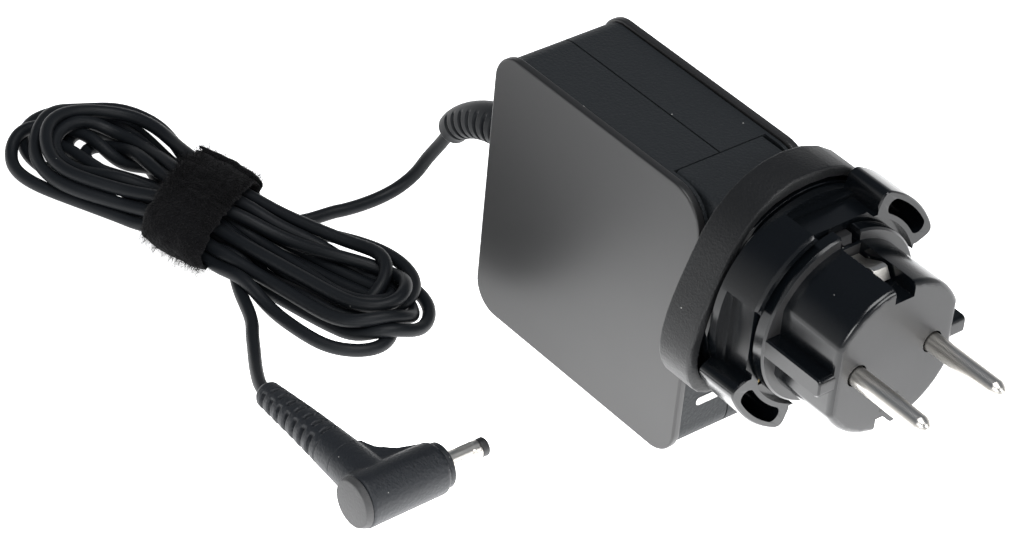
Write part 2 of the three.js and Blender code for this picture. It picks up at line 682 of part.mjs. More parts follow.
function addElectronics() {
  const shellInner = SHELL_FACE - WALL;
  addPart(
    "insulation_sheet",
    boxBetween([4, -shellInner + 1.2, 4], [47, -shellInner + 1.6, 57]),
    "tape",
  );
  addPart(
    "main_board",
    boxBetween([4, BOARD_FACE - BOARD_THICKNESS, 4], [48.5, BOARD_FACE, 58]),
    "board",
  );
  addPart("transformer_core", transformerCore(16, 45.5), "ferrite");
  addPart("transformer_winding", transformerWinding(16, 45.5), "tape");
  addPart("bulk_capacitor_1", canAlongZ(5, 34, PART_FLOOR + 5.2, 39, 57), "sleeve");
  addPart("bulk_capacitor_2", canAlongZ(4, 44, PART_FLOOR + 4.2, 41, 57), "sleeve");
  addPart("x_capacitor", boxBetween([30, PART_FLOOR, 27], [46, PART_FLOOR + 8, 36.5]), "tape");
  addPart("common_mode_choke", chokeRing(38.5, 18), "copper");
  addPart("line_fuse", fuseBody(28, 20), "ceramic");
  addPart("bridge_rectifier", boxBetween([31, PART_FLOOR, 5.5], [46, PART_FLOOR + 3.2, 9.5]), "resin");
  addPart("power_switch", boxBetween([20.4, PART_FLOOR, 20], [24.8, PART_FLOOR + 9, 31.5]), "resin");
  addPart("heat_spreader", boxBetween([18.6, PART_FLOOR, 15], [20, PART_FLOOR + 11.5, 32.8]), "steel");
  addPart("controller_chip", boxBetween([22.5, PART_FLOOR, 6], [27.5, PART_FLOOR + 1.6, 10.5]), "resin");
  addPart("safety_capacitor", discCapacitor(28.6, 31.5), "ceramic");
  addPart("output_capacitor", canAlongZ(4, 13, PART_FLOOR + 4.2, 16, 29), "sleeve");
  addPart("output_inductor", drumInductor(14, 9.5), "copper");
}

// Wires inside the block: from the two live blades to the board, and from the board to the cord.
function addWires() {
  const boardSide = BOARD_FACE + 1.4;
  for (const [name, side, z] of [["line_wire", -1, 29], ["neutral_wire", 1, 24.5]]) {
    const bladeZ = PLUG_AXIS_Z - BLADE_DROP;
    const route = [
      [COLLAR_BACK - 3, side * 8.2, bladeZ],
      [59, side * 7.4, bladeZ - 1],
      [54.5, side * 3.6, bladeZ - 4],
      [50.8, -1.8, z + 1],
      [48.2, boardSide, z],
    ];
    addPart(name, tube(route, WIRE_RADIUS, 12), "copper");
  }
  const route = [
    [3, 0, CORD_EXIT_Z],
    [5.5, -0.4, CORD_EXIT_Z - 0.6],
    [7.4, -1.8, CORD_EXIT_Z - 2.4],
    [8, boardSide, CORD_EXIT_Z - 5],
  ];
  addPart("output_wire", tube(route, WIRE_RADIUS, 9), "cord");
}

// ---------------------------------------------------------------- the cord and what is on it
// The strain relief's centre line, from inside the block's wall out and down towards the table.
const RELIEF_ROUTE = [
  [2.4, 0, CORD_EXIT_Z],
  [-5, 0, CORD_EXIT_Z],
  [-11, 0, CORD_EXIT_Z - 0.6],
  [-17, 0, CORD_EXIT_Z - 2.4],
  [-22.3, 0, CORD_EXIT_Z - 5.2],
  [-26.4, 0, CORD_EXIT_Z - 8.6],
  [-28.3, 0, CORD_EXIT_Z - 11.1],
];

// A round body of changing radius along a curve; radiusAt(t) runs from the start to the end.
function taperedTube(points, radiusAt, steps, sides) {
  const curve = new THREE.CatmullRomCurve3(points.map((point) => new THREE.Vector3(...point)));
  const frames = curve.computeFrenetFrames(steps, false);
  const positions = [];
  const faces = [];
  for (let step = 0; step <= steps; step += 1) {
    const t = step / steps;
    const centre = curve.getPointAt(t);
    for (let side = 0; side < sides; side += 1) {
      const angle = (2 * Math.PI * side) / sides;
      const spoke = frames.normals[step]
        .clone()
        .multiplyScalar(Math.cos(angle))
        .addScaledVector(frames.binormals[step], Math.sin(angle));
      positions.push(...centre.clone().addScaledVector(spoke, radiusAt(t)).toArray());
    }
  }
  const corner = (step, side) => step * sides + (side % sides);
  for (let step = 0; step < steps; step += 1) {
    for (let side = 0; side < sides; side += 1) {
      const [a, b] = [corner(step, side), corner(step, side + 1)];
      const [c, d] = [corner(step + 1, side), corner(step + 1, side + 1)];
      faces.push(a, b, c, b, d, c);
    }
  }
  for (const [step, flip] of [[0, true], [steps, false]]) {
    const hub = positions.length / 3;
    positions.push(...curve.getPointAt(step / steps).toArray());
    for (let side = 0; side < sides; side += 1) {
      const [a, b] = [corner(step, side), corner(step, side + 1)];
      faces.push(...(flip ? [hub, b, a] : [hub, a, b]));
    }
  }
  const geometry = new THREE.BufferGeometry();
  geometry.setAttribute("position", new THREE.Float32BufferAttribute(positions, 3));
  geometry.setIndex(faces);
  return geometry;
}

// The lead that drops from the strain relief to the table and runs to the hank.
const LEAD_ROUTE = [
  [-28.6, 0, 20],
  [-31.4, -0.3, 15],
  [-33.8, -1.4, 10.4],
  [-35.2, -3.4, 6.2],
  [-36.4, -6.6, 3.2],
  [-37, -10.6, 1.9],
  [-37.4, -15.4, 1.5],
  [-37.9, -19.6, 1.5],
  [-39, -24.4, 1.5],
  [-39.4, -30.2, 1.5],
];

// The tail that leaves the hank and rises to the connector's own strain relief.
const TAIL_ROUTE = [
  [-18.6, -57.2, 1.5],
  [-13, -60.8, 1.5],
  [-9.3, -63.1, 1.6],
  [-5.2, -65.7, 1.9],
  [-1.2, -68.1, 2.6],
  [2.2, -69.9, 3.4],
  [4.8, -70.9, 4],
];

// Moves a geometry from the hank's own frame (its length along X) to its place on the table.
function placeOnHank(geometry) {
  geometry.rotateZ(degrees(HANK_TURN));
  geometry.translate(...HANK_CENTRE.toArray());
  return geometry;
}

// The hank's outer shape: two round ends drawn in to a waist where the strap holds it.
function hankSolid() {
  const end = HANK_LENGTH / 2 - HANK_END_RADIUS;
  const radius = HANK_END_RADIUS;
  const [along, across] = TIE_PLACE;
  const near = across - HANK_WAIST;
  const far = across + HANK_WAIST;
  const swell = 18; // how far an end keeps its full width
  const draw = 22; // how far the waist keeps its own
  const shape = new THREE.Shape();
  shape.moveTo(-end, -radius);
  shape.bezierCurveTo(-end + swell, -radius, along - draw, near, along, near);
  shape.bezierCurveTo(along + draw, near, end - swell, -radius, end, -radius);
  shape.absarc(end, 0, radius, -Math.PI / 2, Math.PI / 2);
  shape.bezierCurveTo(end - swell, radius, along + draw, far, along, far);
  shape.bezierCurveTo(along - draw, far, -end + swell, radius, -end, radius);
  shape.absarc(-end, 0, radius, Math.PI / 2, 1.5 * Math.PI);
  const geometry = new THREE.ExtrudeGeometry(shape, {
    depth: HANK_TOP - HANK_BOTTOM,
    bevelEnabled: false,
    curveSegments: 10,
  });
  geometry.translate(0, 0, HANK_BOTTOM);
  return placeOnHank(geometry);
}

// The hook-and-loop strap: a flat band wrapped once round the waist, a little askew.
function cableTie() {
  const [along, across] = TIE_PLACE;
  const half = TIE_WIDTH / 2;
  const bottom = HANK_BOTTOM - GAP;
  const top = HANK_TOP + GAP;
  const band = (grow, corner) =>
    roundedRectangle(-TIE_HALF - grow, bottom - grow, TIE_HALF + grow, top + grow, Array(4).fill(corner));
  const innerCorner = TIE_CORNER - TIE_THICKNESS;
  const outer = extrudeAlongX(band(TIE_THICKNESS, TIE_CORNER), -half, half, { curveSegments: 5 });
  const inner = extrudeAlongX(band(0, innerCorner), -half - 1, half + 1, { curveSegments: 4 });
  const strap = cut(outer, inner);
  strap.applyMatrix4(new THREE.Matrix4().makeShear(0, 0, TIE_SLANT, 0, 0, 0));
  strap.translate(along, across, 0);
  return placeOnHank(strap);
}

// A piece turned about the connector's own axis, which runs along +Y.
function turnedOnConnector(profile, segments = 18) {
  const geometry = new THREE.LatheGeometry(profile.map(([y, r]) => new THREE.Vector2(r, y)), segments);
  geometry.translate(CONNECTOR_X, 0, CONNECTOR_Z);
  return geometry;
}

function connectorRelief() {
  const route = [
    [6, -71.2, 4.3],
    [12, -71.5, 5],
    [20, CONNECTOR_ARM_Y, 5.5],
    [32, CONNECTOR_ARM_Y, CONNECTOR_Z],
  ];
  return taperedTube(route, (t) => 2.6 + 1.9 * t, 10, 12);
}

function connectorBody() {
  const cap = CONNECTOR_BACK + CAP_SEAT;
  const barrel = turnedOnConnector([
    [cap, 0],
    [cap, CONNECTOR_RADIUS - 0.3],
    [cap + 0.4, CONNECTOR_RADIUS],
    [CONNECTOR_FRONT - 1.4, CONNECTOR_RADIUS - 0.2],
    [CONNECTOR_FRONT - 0.4, CONNECTOR_RADIUS - 0.8],
    [CONNECTOR_FRONT, CONNECTOR_RADIUS - 1.6],
    [CONNECTOR_FRONT, 0],
  ]);
  const armRoute = [32.3, 36, CONNECTOR_X].map((x) => [x, CONNECTOR_ARM_Y, CONNECTOR_Z]);
  const arm = taperedTube(armRoute, (t) => 4.5 + 0.6 * t, 3, 12);
  return join(barrel, arm);
}

function addCord() {
  const neckEnd = 0.12; // the share of the relief that is the plain neck in the block's wall
  const shoulder = 5.4;
  const reliefRadius = (t) => {
    const along = (t - neckEnd) / (1 - neckEnd);
    return t < neckEnd ? RELIEF_NECK_RADIUS : shoulder + (RELIEF_END_RADIUS - shoulder) * along;
  };
  addPart("strain_relief", taperedTube(RELIEF_ROUTE, reliefRadius, 14, 12), "cord");
  addPart("cord_lead_out", tube(LEAD_ROUTE, CORD_DIAMETER / 2, 12), "cord");
  addPart("cord_hank", hankSolid(), "cord");
  addPart("cable_tie", cableTie(), "strap");
  addPart("cord_tail", tube(TAIL_ROUTE, CORD_DIAMETER / 2, 10), "cord");
  addPart("connector_relief", connectorRelief(), "cord");
  addPart("connector_body", connectorBody(), "cord");
  const capInner = CONNECTOR_BACK + CAP_SEAT - GAP;
  addPart(
    "connector_cap",
    turnedOnConnector([
      [CONNECTOR_BACK, 0],
      [CONNECTOR_BACK, CONNECTOR_RADIUS - 1],
      [CONNECTOR_BACK + 0.4, CONNECTOR_RADIUS - 0.5],
      [capInner, CONNECTOR_RADIUS - 0.5],
      [capInner, 0],
    ]),
    "cord",
  );
  addPart(
    "connector_nose",
    turnedOnConnector([
      [CONNECTOR_FRONT + GAP, 0],
      [CONNECTOR_FRONT + GAP, NOSE_RADIUS],
      [NOSE_FRONT, NOSE_RADIUS],
      [NOSE_FRONT, 0],
    ]),
    "cord",
  );
  const barrelBack = NOSE_FRONT + GAP;
  const bore = BARREL_RADIUS - BARREL_WALL;
  addPart(
    "barrel_shell",
    turnedOnConnector([
      [barrelBack, bore],
      [barrelBack, BARREL_RADIUS],
      [BARREL_FRONT - BARREL_TIP - GAP, BARREL_RADIUS],
      [BARREL_FRONT - BARREL_TIP - GAP, bore],
      [barrelBack, bore],
    ]),
    "nickel",
  );
  addPart(
    "barrel_insulator",
    turnedOnConnector([
      [barrelBack, BORE_RADIUS],
      [barrelBack, bore - GAP],
      [BARREL_FRONT - BARREL_TIP, bore - GAP],
      [BARREL_FRONT - BARREL_TIP, BARREL_RADIUS],
      [BARREL_FRONT - 0.3, BARREL_RADIUS],
      [BARREL_FRONT, BARREL_RADIUS - 0.3],
      [BARREL_FRONT, BORE_RADIUS],
      [barrelBack, BORE_RADIUS],
    ]),
    "resin",
  );
  addPart(
    "barrel_contact",
    turnedOnConnector([
      [barrelBack, 0.5],
      [barrelBack, 0.8],
      [BARREL_FRONT - 0.8, 0.8],
      [BARREL_FRONT - 0.8, 0.5],
      [barrelBack, 0.5],
    ], 16),
    "nickel",
  );
}

addHousing();
addConverter();
addElectronics();
addWires();
addCord();

// The origin goes under the middle of the adapter, from the block's cord end to the pins' tips.
adapter.position.set(-TOTAL_LENGTH / 2, 0, 0);

export default adapter;
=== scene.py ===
# %% [markdown]
# # A laptop power adapter
# The object is a flat square block that stands on a narrow side, a wide plug collar, a clip-on converter
# with two round pins, and a thin output cord in a tied hank with a right-angle connector at its end.
# The engineering model gives every rigid piece its place. This script adds what it leaves out: the real
# course of the cord, the fuzzy strap, the ribs and slots of the soft mouldings, and every finish.

# %% Tools and the fixed frame
import json
import math

import bmesh
import bpy
import numpy as np
from mathutils import Matrix, Vector, noise


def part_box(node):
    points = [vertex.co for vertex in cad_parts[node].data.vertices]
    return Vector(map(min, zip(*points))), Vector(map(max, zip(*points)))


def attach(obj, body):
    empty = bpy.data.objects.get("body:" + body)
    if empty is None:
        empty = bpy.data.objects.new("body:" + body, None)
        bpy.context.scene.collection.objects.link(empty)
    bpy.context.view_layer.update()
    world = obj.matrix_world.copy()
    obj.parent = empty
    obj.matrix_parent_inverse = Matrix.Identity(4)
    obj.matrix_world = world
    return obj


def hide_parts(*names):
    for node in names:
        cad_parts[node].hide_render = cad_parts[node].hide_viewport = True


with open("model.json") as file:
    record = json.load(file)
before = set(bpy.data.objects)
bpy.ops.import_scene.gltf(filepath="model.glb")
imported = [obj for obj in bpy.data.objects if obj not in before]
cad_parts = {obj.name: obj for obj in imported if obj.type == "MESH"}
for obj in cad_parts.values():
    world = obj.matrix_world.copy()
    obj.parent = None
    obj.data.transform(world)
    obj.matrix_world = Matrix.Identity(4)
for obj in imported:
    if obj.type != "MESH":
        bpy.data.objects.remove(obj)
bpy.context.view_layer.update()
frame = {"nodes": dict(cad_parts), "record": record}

MM = 0.001
SEED = 7

# %% [markdown]
# ## One way to give places
# The model's own drawing is in millimetres from the block's cord end, its centre seam and the table.
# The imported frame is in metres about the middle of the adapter, so one small helper turns one into the
# other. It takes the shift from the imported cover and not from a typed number.

# %% Places in the block's own millimetres
CORD_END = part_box("front_cover")[0].x


def at(x, y, z):
    """A point in millimetres from the block's cord end, its seam and the table, as frame metres."""
    return Vector((CORD_END + x * MM, y * MM, z * MM))


def smooth_through(points, per_span=12):
    """Samples of a smooth line through given points (a centripetal spline, which never loops)."""
    p = np.array(points, float)
    p = np.vstack([2 * p[0] - p[1], p, 2 * p[-1] - p[-2]])
    spans = []
    for a, b, c, d in zip(p[:-3], p[1:-2], p[2:-1], p[3:]):
        tb = np.linalg.norm(b - a) ** 0.5
        tc = tb + np.linalg.norm(c - b) ** 0.5
        td = tc + np.linalg.norm(d - c) ** 0.5
        t = np.linspace(tb, tc, per_span, endpoint=False)[:, None]
        ab = ((tb - t) * a + t * b) / tb
        bc = ((tc - t) * b + (t - tb) * c) / (tc - tb)
        cd = ((td - t) * c + (t - tc) * d) / (td - tc)
        abc = ((tc - t) * ab + t * bc) / tc
        bcd = ((td - t) * bc + (t - tb) * cd) / (td - tb)
        spans.append(((tc - t) * abc + (t - tb) * bcd) / (tc - tb))
    return np.vstack([*spans, p[-2][None]])


def evenly(points, step):
    """The same line with its points `step` apart."""
    lengths = np.concatenate([[0], np.cumsum(np.linalg.norm(np.diff(points, axis=0), axis=1))])
    count = max(2, round(lengths[-1] / step))
    stations = np.linspace(0, lengths[-1], count + 1)
    return np.column_stack([np.interp(stations, lengths, points[:, k]) for k in range(3)])


# %% [markdown]
# ## The camera
# A long lens from well above and to the right of the plug keeps the block's edges nearly parallel. The
# camera is described by the direction it looks from, a small roll, and its place, so it is easy to check.
# The plain view transform keeps the white ground white and the blacks deep.

# %% Camera
AZIMUTH, ELEVATION, ROLL = (math.radians(v) for v in (48.21, 36.55, 5.58))
LENS, SENSOR = 138.2, 36.0
CAMERA_PLACE = Vector((0.4229, -0.4369, 0.4835))


def add_camera():
    back = Vector((math.sin(AZIMUTH) * math.cos(ELEVATION), -math.cos(AZIMUTH) * math.cos(ELEVATION),
                   math.sin(ELEVATION)))
    level = Vector((0, 0, 1)).cross(back).normalized()
    upright = back.cross(level)
    right = level * math.cos(ROLL) + upright * math.sin(ROLL)
    up = upright * math.cos(ROLL) - level * math.sin(ROLL)
    data = bpy.data.cameras.new("camera")
    data.lens, data.sensor_width, data.sensor_fit = LENS, SENSOR, "HORIZONTAL"
    data.clip_start, data.clip_end = 0.01, 20
    camera = bpy.data.objects.new("camera", data)
    bpy.context.scene.collection.objects.link(camera)
    axes = Matrix((right, up, back)).transposed().to_4x4()
    camera.matrix_world = Matrix.Translation(CAMERA_PLACE) @ axes
    bpy.context.scene.camera = camera
    bpy.context.scene.view_settings.view_transform = "Standard"


add_camera()
print("camera", LENS, "mm lens at", tuple(CAMERA_PLACE))

# %% [markdown]
# ## The cord
# The cord is one piece of soft round vinyl, 2.8 mm across. It leaves the strain relief, drops to the table,
# passes seven and a half times round a hank and runs to the connector. It could be separate rings, but then
# nothing would join them, and the ends would never look wound. So it is one line: a lead, a loop of code that
# lays the turns, and a tail. Each turn of the hank is told only how far it reaches, where its two sides lie
# and how high it rides.

# %% The hank's own directions
CORD_RADIUS = 1.4
CORD_STEP = 1.5
HANK_MIDDLE = np.array([-48.3, -46.2])
HANK_TURN = math.radians(13)
ALONG = np.array([math.cos(HANK_TURN), math.sin(HANK_TURN)])
ACROSS = np.array([-math.sin(HANK_TURN), math.cos(HANK_TURN)])


def on_hank(u, v, z):
    """A point given along the hank, across it and above the table, in the block's millimetres."""
    return [*(HANK_MIDDLE + u * ALONG + v * ACROSS), z]


def from_hank(points):
    """Block millimetres as (along, across, height) of the hank."""
    flat = points[:, :2] - HANK_MIDDLE
    return np.column_stack([flat @ ALONG, flat @ ACROSS, points[:, 2]])


# %% Lead and tail, the given points that the CAD route has
LEAD = [
    (-28.6, 0, 20), (-31.4, -0.3, 15), (-33.8, -1.4, 10.4), (-35.2, -3.4, 6.2), (-36.4, -6.6, 3.2),
    (-37, -10.6, 1.9), (-37.4, -15.4, 1.5), (-37.9, -19.6, 1.5), (-39, -24.4, 1.5), (-39.4, -30.2, 1.5),
]
TAIL = [
    (-18.6, -57.2, 1.5), (-13, -60.8, 1.5), (-9.3, -63.1, 1.6), (-5.2, -65.7, 1.9), (-1.2, -68.1, 2.6),
    (2.2, -69.9, 3.4), (4.8, -70.9, 4),
]

# %% The turns of the hank
# Each end: reach from the middle, near and far sides, height where it starts, at its tip and where it ends.
LEFT_ENDS = [
    (52.4, -9.5, 14.0, 1.5, 1.5, 1.5),
    (48.5, -15.0, 3.5, 4.2, 4.4, 1.5),
    (43.0, -5.5, 9.5, 1.5, 1.5, 1.5),
    (46.8, -13.6, 17.2, 5.0, 6.4, 6.0),
    (42.0, -6.6, 6.4, 4.4, 4.8, 4.4),
    (42.8, -12.4, 13.6, 7.6, 8.8, 7.6),
    (37.0, -1.5, 6.2, 4.4, 3.6, 3.0),
    (46.0, -4.0, 11.8, 3.2, 3.4, 3.2),
]
RIGHT_ENDS = [
    (54.0, -8.2, 13.0, 1.6, 3.0, 1.5),
    (50.8, -14.6, 4.0, 3.6, 1.6, 1.5),
    (47.4, -6.6, 15.4, 4.2, 4.6, 6.0),
    (51.4, -8.8, 9.6, 6.0, 6.2, 4.2),
    (42.0, -4.2, 12.2, 2.4, 4.0, 6.6),
    (48.6, -4.2, 10.6, 7.6, 7.8, 5.0),
    (45.0, -1.0, 7.4, 4.4, 3.2, 3.2),
]
# Places under the strap, across and up, where a strand passes towards the connector's side and back.
NEAR_SLOTS = [
    (-6.2, 2.8), (-9.6, 2.8), (-2.6, 2.8), (-8.2, 5.6), (-3.2, 5.7), (-5.6, 8.4), (1.0, 5.6), (-5.8, 5.5),
]
FAR_SLOTS = [
    (8.0, 2.8), (4.6, 2.8), (1.0, 2.8), (6.4, 5.6), (3.4, 8.2), (7.0, 7.4), (-0.4, 8.2), (3.8, 5.5),
]
STRAP_U, STRAP_HALF, STRAP_SLANT = -1.3, 8.25, -0.3
# How far along from the strap's middle the strands are held, and how far out each turn comes in.
SLOT_REACH, ENTRY_REACH = 5.5, 5
END_SWEEP, END_POINTS = math.radians(84), 7
END_ROUNDNESS, END_DEPTH = 1.15, 17


def turn_end(side, reach, near, far, z_start, z_tip, z_end):
    """Points round one end of a turn. side is -1 for the strain relief's end, 1 for the connector's."""
    middle, half = (near + far) / 2, (far - near) / 2
    depth = min(END_ROUNDNESS * half, END_DEPTH)
    points = []
    for share in np.linspace(-1, 1, END_POINTS):
        angle = share * END_SWEEP
        z = z_tip + (z_start - z_tip) * max(0, -share) + (z_end - z_tip) * max(0, share)
        u = side * (reach - depth + depth * math.cos(angle))
        points.append(on_hank(u, middle + side * half * math.sin(angle), z))
    return points


def hank_points():
    """The turns in order: from the lead into the strap, and out of it to the tail."""
    points = []
    for index, left in enumerate(LEFT_ENDS):
        (far_v, far_z), (near_v, near_z) = FAR_SLOTS[index], NEAR_SLOTS[index]
        points.append(on_hank(STRAP_U + ENTRY_REACH, far_v, far_z))
        points.append(on_hank(STRAP_U - SLOT_REACH, far_v, far_z))
        points += turn_end(-1, *left)
        points.append(on_hank(STRAP_U - SLOT_REACH, near_v, near_z))
        points.append(on_hank(STRAP_U + SLOT_REACH, near_v, near_z))
        if index < len(RIGHT_ENDS):
            points += turn_end(1, *RIGHT_ENDS[index])
    return points


TO_TAIL = [on_hank(9, -4.5, 2.6), on_hank(17.5, -11.5, 1.5)]
first_line = evenly(smooth_through([*LEAD, *hank_points(), *TO_TAIL, *TAIL]), CORD_STEP)
print("first line", len(first_line), "points")

# %% [markdown]
# ## Strands that lie on each other
# The first line runs through itself wherever strands cross. A cloth or rope simulation would settle it
# slowly, so a small loop does the same: strands nearer than a diameter push each other apart, the line
# is kept fair and evenly spaced, nothing goes under the table, and the strap keeps its bundle together.
# The pushes are smoothed along the cord before they move it, because a cord can't be kinked by a neighbour.

# %% Settling the strands
CLEARANCE = 2 * CORD_RADIUS + 0.04
STRAP_ROOM = (-11.2, 9.2)
STRAP_UNDER = 1.35
ROUNDS, LATE_ROUNDS = 400, 0.7
FIND_EVERY, FIND_REACH, NEIGHBOURS = 5, 1.6 * CLEARANCE, 7
# Shares of an overlap, a bend, a stretch and a wander that one round takes out. Lengths are in mm.
PUSH, LONGEST_PUSH, SHARED_PUSH, PUSH_SMOOTHING = 0.25, 0.5, 0.4, 6
FAIRING, SPACING = 0.9, 0.25
HOME_EARLY, HOME_LATE, SAG = 0.01, 0.002, [0, 0, 0.01]
RISE, RISE_ROUNDS = 0.12, 12
FREE_LEAD, FREE_TAIL = 6, 2


def close_pairs(points):
    """Pairs of places that are near each other but not neighbours along the cord."""
    gap = points[:, None, :] - points[None, :, :]
    near = (gap**2).sum(2) < FIND_REACH**2
    return np.nonzero(np.triu(near, NEIGHBOURS))


def pushed_apart(line, i, j):
    """How far each place moves away from the strands that it runs into."""
    gap = line[i] - line[j]
    distance = np.maximum(np.linalg.norm(gap, axis=1), 1e-6)
    push = PUSH * np.clip(CLEARANCE - distance, 0, LONGEST_PUSH)[:, None] * gap / distance[:, None]
    moves, touching = np.zeros_like(line), np.zeros(len(line))
    for ends, sign in ((i, 1), (j, -1)):
        np.add.at(moves, ends, sign * push)
        np.add.at(touching, ends, distance < CLEARANCE)
    moves /= np.maximum(1, SHARED_PUSH * touching)[:, None]
    for _ in range(PUSH_SMOOTHING):
        moves[1:-1] = (moves[:-2] + 2 * moves[1:-1] + moves[2:]) / 4
    return moves


def fair(line, free):
    """The line with its sharpest bends eased."""
    bend = np.zeros_like(line)
    bend[2:-2] = (4 * line[1:-3] + 4 * line[3:-1] - line[:-4] - line[4:] - 6 * line[2:-2]) / 16
    return line + FAIRING * bend * free


def spaced(line, step, free):
    """The line with its places drawn back towards their first spacing, so that it keeps its length."""
    span = np.diff(line, axis=0)
    fix = SPACING * span * (1 - step / np.linalg.norm(span, axis=1)[:, None])
    change = np.zeros_like(line)
    change[:-1] += fix
    change[1:] -= fix
    return line + change * free


def lowest_places(line, free, inside):
    """The floor under each place: the table, or the strap's lower layer with a soft rise to it."""
    low = np.where(inside, CORD_RADIUS + STRAP_UNDER, CORD_RADIUS)
    low = np.where(free[:, 0] > 0, low, 0)
    for _ in range(RISE_ROUNDS):
        low[1:-1] = np.maximum(low[1:-1], (low[:-2] + low[2:]) / 2 - RISE)
    return low


def settle(start):
    """The settled line. The lead and the tail stay but for their inner ends, and the rest is free."""
    line, free = start.copy(), np.ones((len(start), 1))
    free[: len(evenly(smooth_through(LEAD), CORD_STEP)) - FREE_LEAD] = 0
    free[-(len(evenly(smooth_through(TAIL), CORD_STEP)) - FREE_TAIL):] = 0
    step = np.linalg.norm(np.diff(start, axis=0), axis=1)[:, None]
    along, across, _ = from_hank(start).T
    inside = (np.abs(along - STRAP_U - STRAP_SLANT * across) < STRAP_HALF + 0.5) & (free[:, 0] > 0)
    low = lowest_places(line, free, inside)
    for number in range(ROUNDS):
        if number % FIND_EVERY == 0:
            i, j = close_pairs(line)
        home = HOME_EARLY if number < LATE_ROUNDS * ROUNDS else HOME_LATE
        line += (pushed_apart(line, i, j) + home * (start - line) - SAG) * free
        line = spaced(fair(fair(line, free), free), step, free)
        line[:, 2] = np.maximum(line[:, 2], low)
        across = from_hank(line)[:, 1]
        line[inside, :2] += 0.5 * (np.clip(across, *STRAP_ROOM) - across)[inside, None] * ACROSS
    i, j = close_pairs(line)
    worst = np.linalg.norm(line[i] - line[j], axis=1).min()
    print("settled: closest strands", round(float(worst), 2), "mm apart")
    return line


cord_line = evenly(settle(first_line), CORD_STEP)
bundle = from_hank(cord_line)
in_strap = np.abs(bundle[:, 0] - STRAP_U - STRAP_SLANT * bundle[:, 1]) < STRAP_HALF
print("bundle in the strap", bundle[in_strap].min(0).round(1), bundle[in_strap].max(0).round(1))

# %% [markdown]
# ## Making meshes
# The cord and the soft mouldings are all surfaces over a grid: one direction along a line or an axis, the
# other round the section. One helper sweeps a section whose radius may change along the line and round it,
# which is what ribs and slots are, and the other turns a profile round an axis.

# %% Mesh, sweep and turning helpers
def add_mesh(name, vertices, faces, smooth=True):
    mesh = bpy.data.meshes.new(name)
    mesh.from_pydata([tuple(v) for v in vertices], [], [tuple(int(i) for i in f) for f in faces])
    work = bmesh.new()
    work.from_mesh(mesh)
    bmesh.ops.recalc_face_normals(work, faces=work.faces)
    for face in work.faces:
        face.smooth = smooth
    work.to_mesh(mesh)
    work.free()
    piece = bpy.data.objects.new(name, mesh)
    bpy.context.scene.collection.objects.link(piece)
    return piece


def grid_faces(rows, columns, closed_rows=False):
    """Quads between the rows of a grid whose vertices run row by row, and whose rows are rings."""
    faces = []
    for r in range(rows if closed_rows else rows - 1):
        for c in range(columns):
            r2, c2 = (r + 1) % rows, (c + 1) % columns
            faces.append((r * columns + c, r2 * columns + c, r2 * columns + c2, r * columns + c2))
    return faces


def capped(rows, around):
    """The faces of a tube whose two ends are closed."""
    last = (rows - 1) * around
    return grid_faces(rows, around) + [tuple(range(around)), tuple(range(last, last + around))]


def carried_frames(line):
    """A side and an up direction at each point, carried along the line without twisting."""
    tangent = np.gradient(line, axis=0)
    tangent /= np.linalg.norm(tangent, axis=1)[:, None]
    side = [np.cross(tangent[0], [0, 1.0, 0])]
    for direction in tangent[1:]:
        kept = side[-1] - (side[-1] @ direction) * direction
        side.append(kept / np.linalg.norm(kept))
    side[0] /= np.linalg.norm(side[0])
    side = np.array(side)
    return side, np.cross(side, tangent)


def line_frames(line):
    """A side and an up direction at each point of a line; the side stays as level as it can."""
    tangent = np.gradient(line, axis=0)
    tangent /= np.linalg.norm(tangent, axis=1)[:, None]
    side = np.cross(tangent, [0, 0, 1.0])
    side /= np.maximum(np.linalg.norm(side, axis=1), 1e-9)[:, None]
    return side, np.cross(side, tangent)


def sweep(name, line, radius_at, around, frames=line_frames):
    """A closed tapered moulding; radius_at(distance, angle) is in mm, and angle 0 is level, 90 is up."""
    side, up = frames(line)
    stations = np.concatenate([[0], np.cumsum(np.linalg.norm(np.diff(line, axis=0), axis=1))])
    angles = np.linspace(0, 2 * math.pi, around, endpoint=False)
    vertices = []
    for place, s, a, b in zip(line, stations, side, up):
        for angle in angles:
            spoke = math.cos(angle) * a + math.sin(angle) * b
            vertices.append(at(*(place + radius_at(s, angle) * spoke)))
    return add_mesh(name, vertices, capped(len(line), around))


def lathe(name, profile, place, axis, around=48):
    """A turned piece; profile is (distance along the axis, radius), nearly on the axis at both ends."""
    axis = Vector(axis).normalized()
    first = axis.orthogonal().normalized()
    second = axis.cross(first)
    vertices = []
    for along, radius in profile:
        for angle in np.linspace(0, 2 * math.pi, around, endpoint=False):
            spoke = first * math.cos(angle) + second * math.sin(angle)
            vertices.append(Vector(place) + (axis * along + spoke * radius) * MM)
    return add_mesh(name, vertices, capped(len(profile), around))


def rounded(profile, radius, steps=4):
    """Rounds the corners of a turned profile so that every edge catches light."""
    points = [np.array(p, float) for p in profile]
    out = [points[0]]
    for before, corner, after in zip(points[:-2], points[1:-1], points[2:]):
        a, b = before - corner, after - corner
        la, lb = np.linalg.norm(a), np.linalg.norm(b)
        cut = min(radius, la * 0.45, lb * 0.45)
        start, end = corner + a / la * cut, corner + b / lb * cut
        for t in np.linspace(0, 1, steps):
            out.append((1 - t) ** 2 * start + 2 * t * (1 - t) * corner + t * t * end)
    out.append(points[-1])
    return [tuple(p) for p in out]


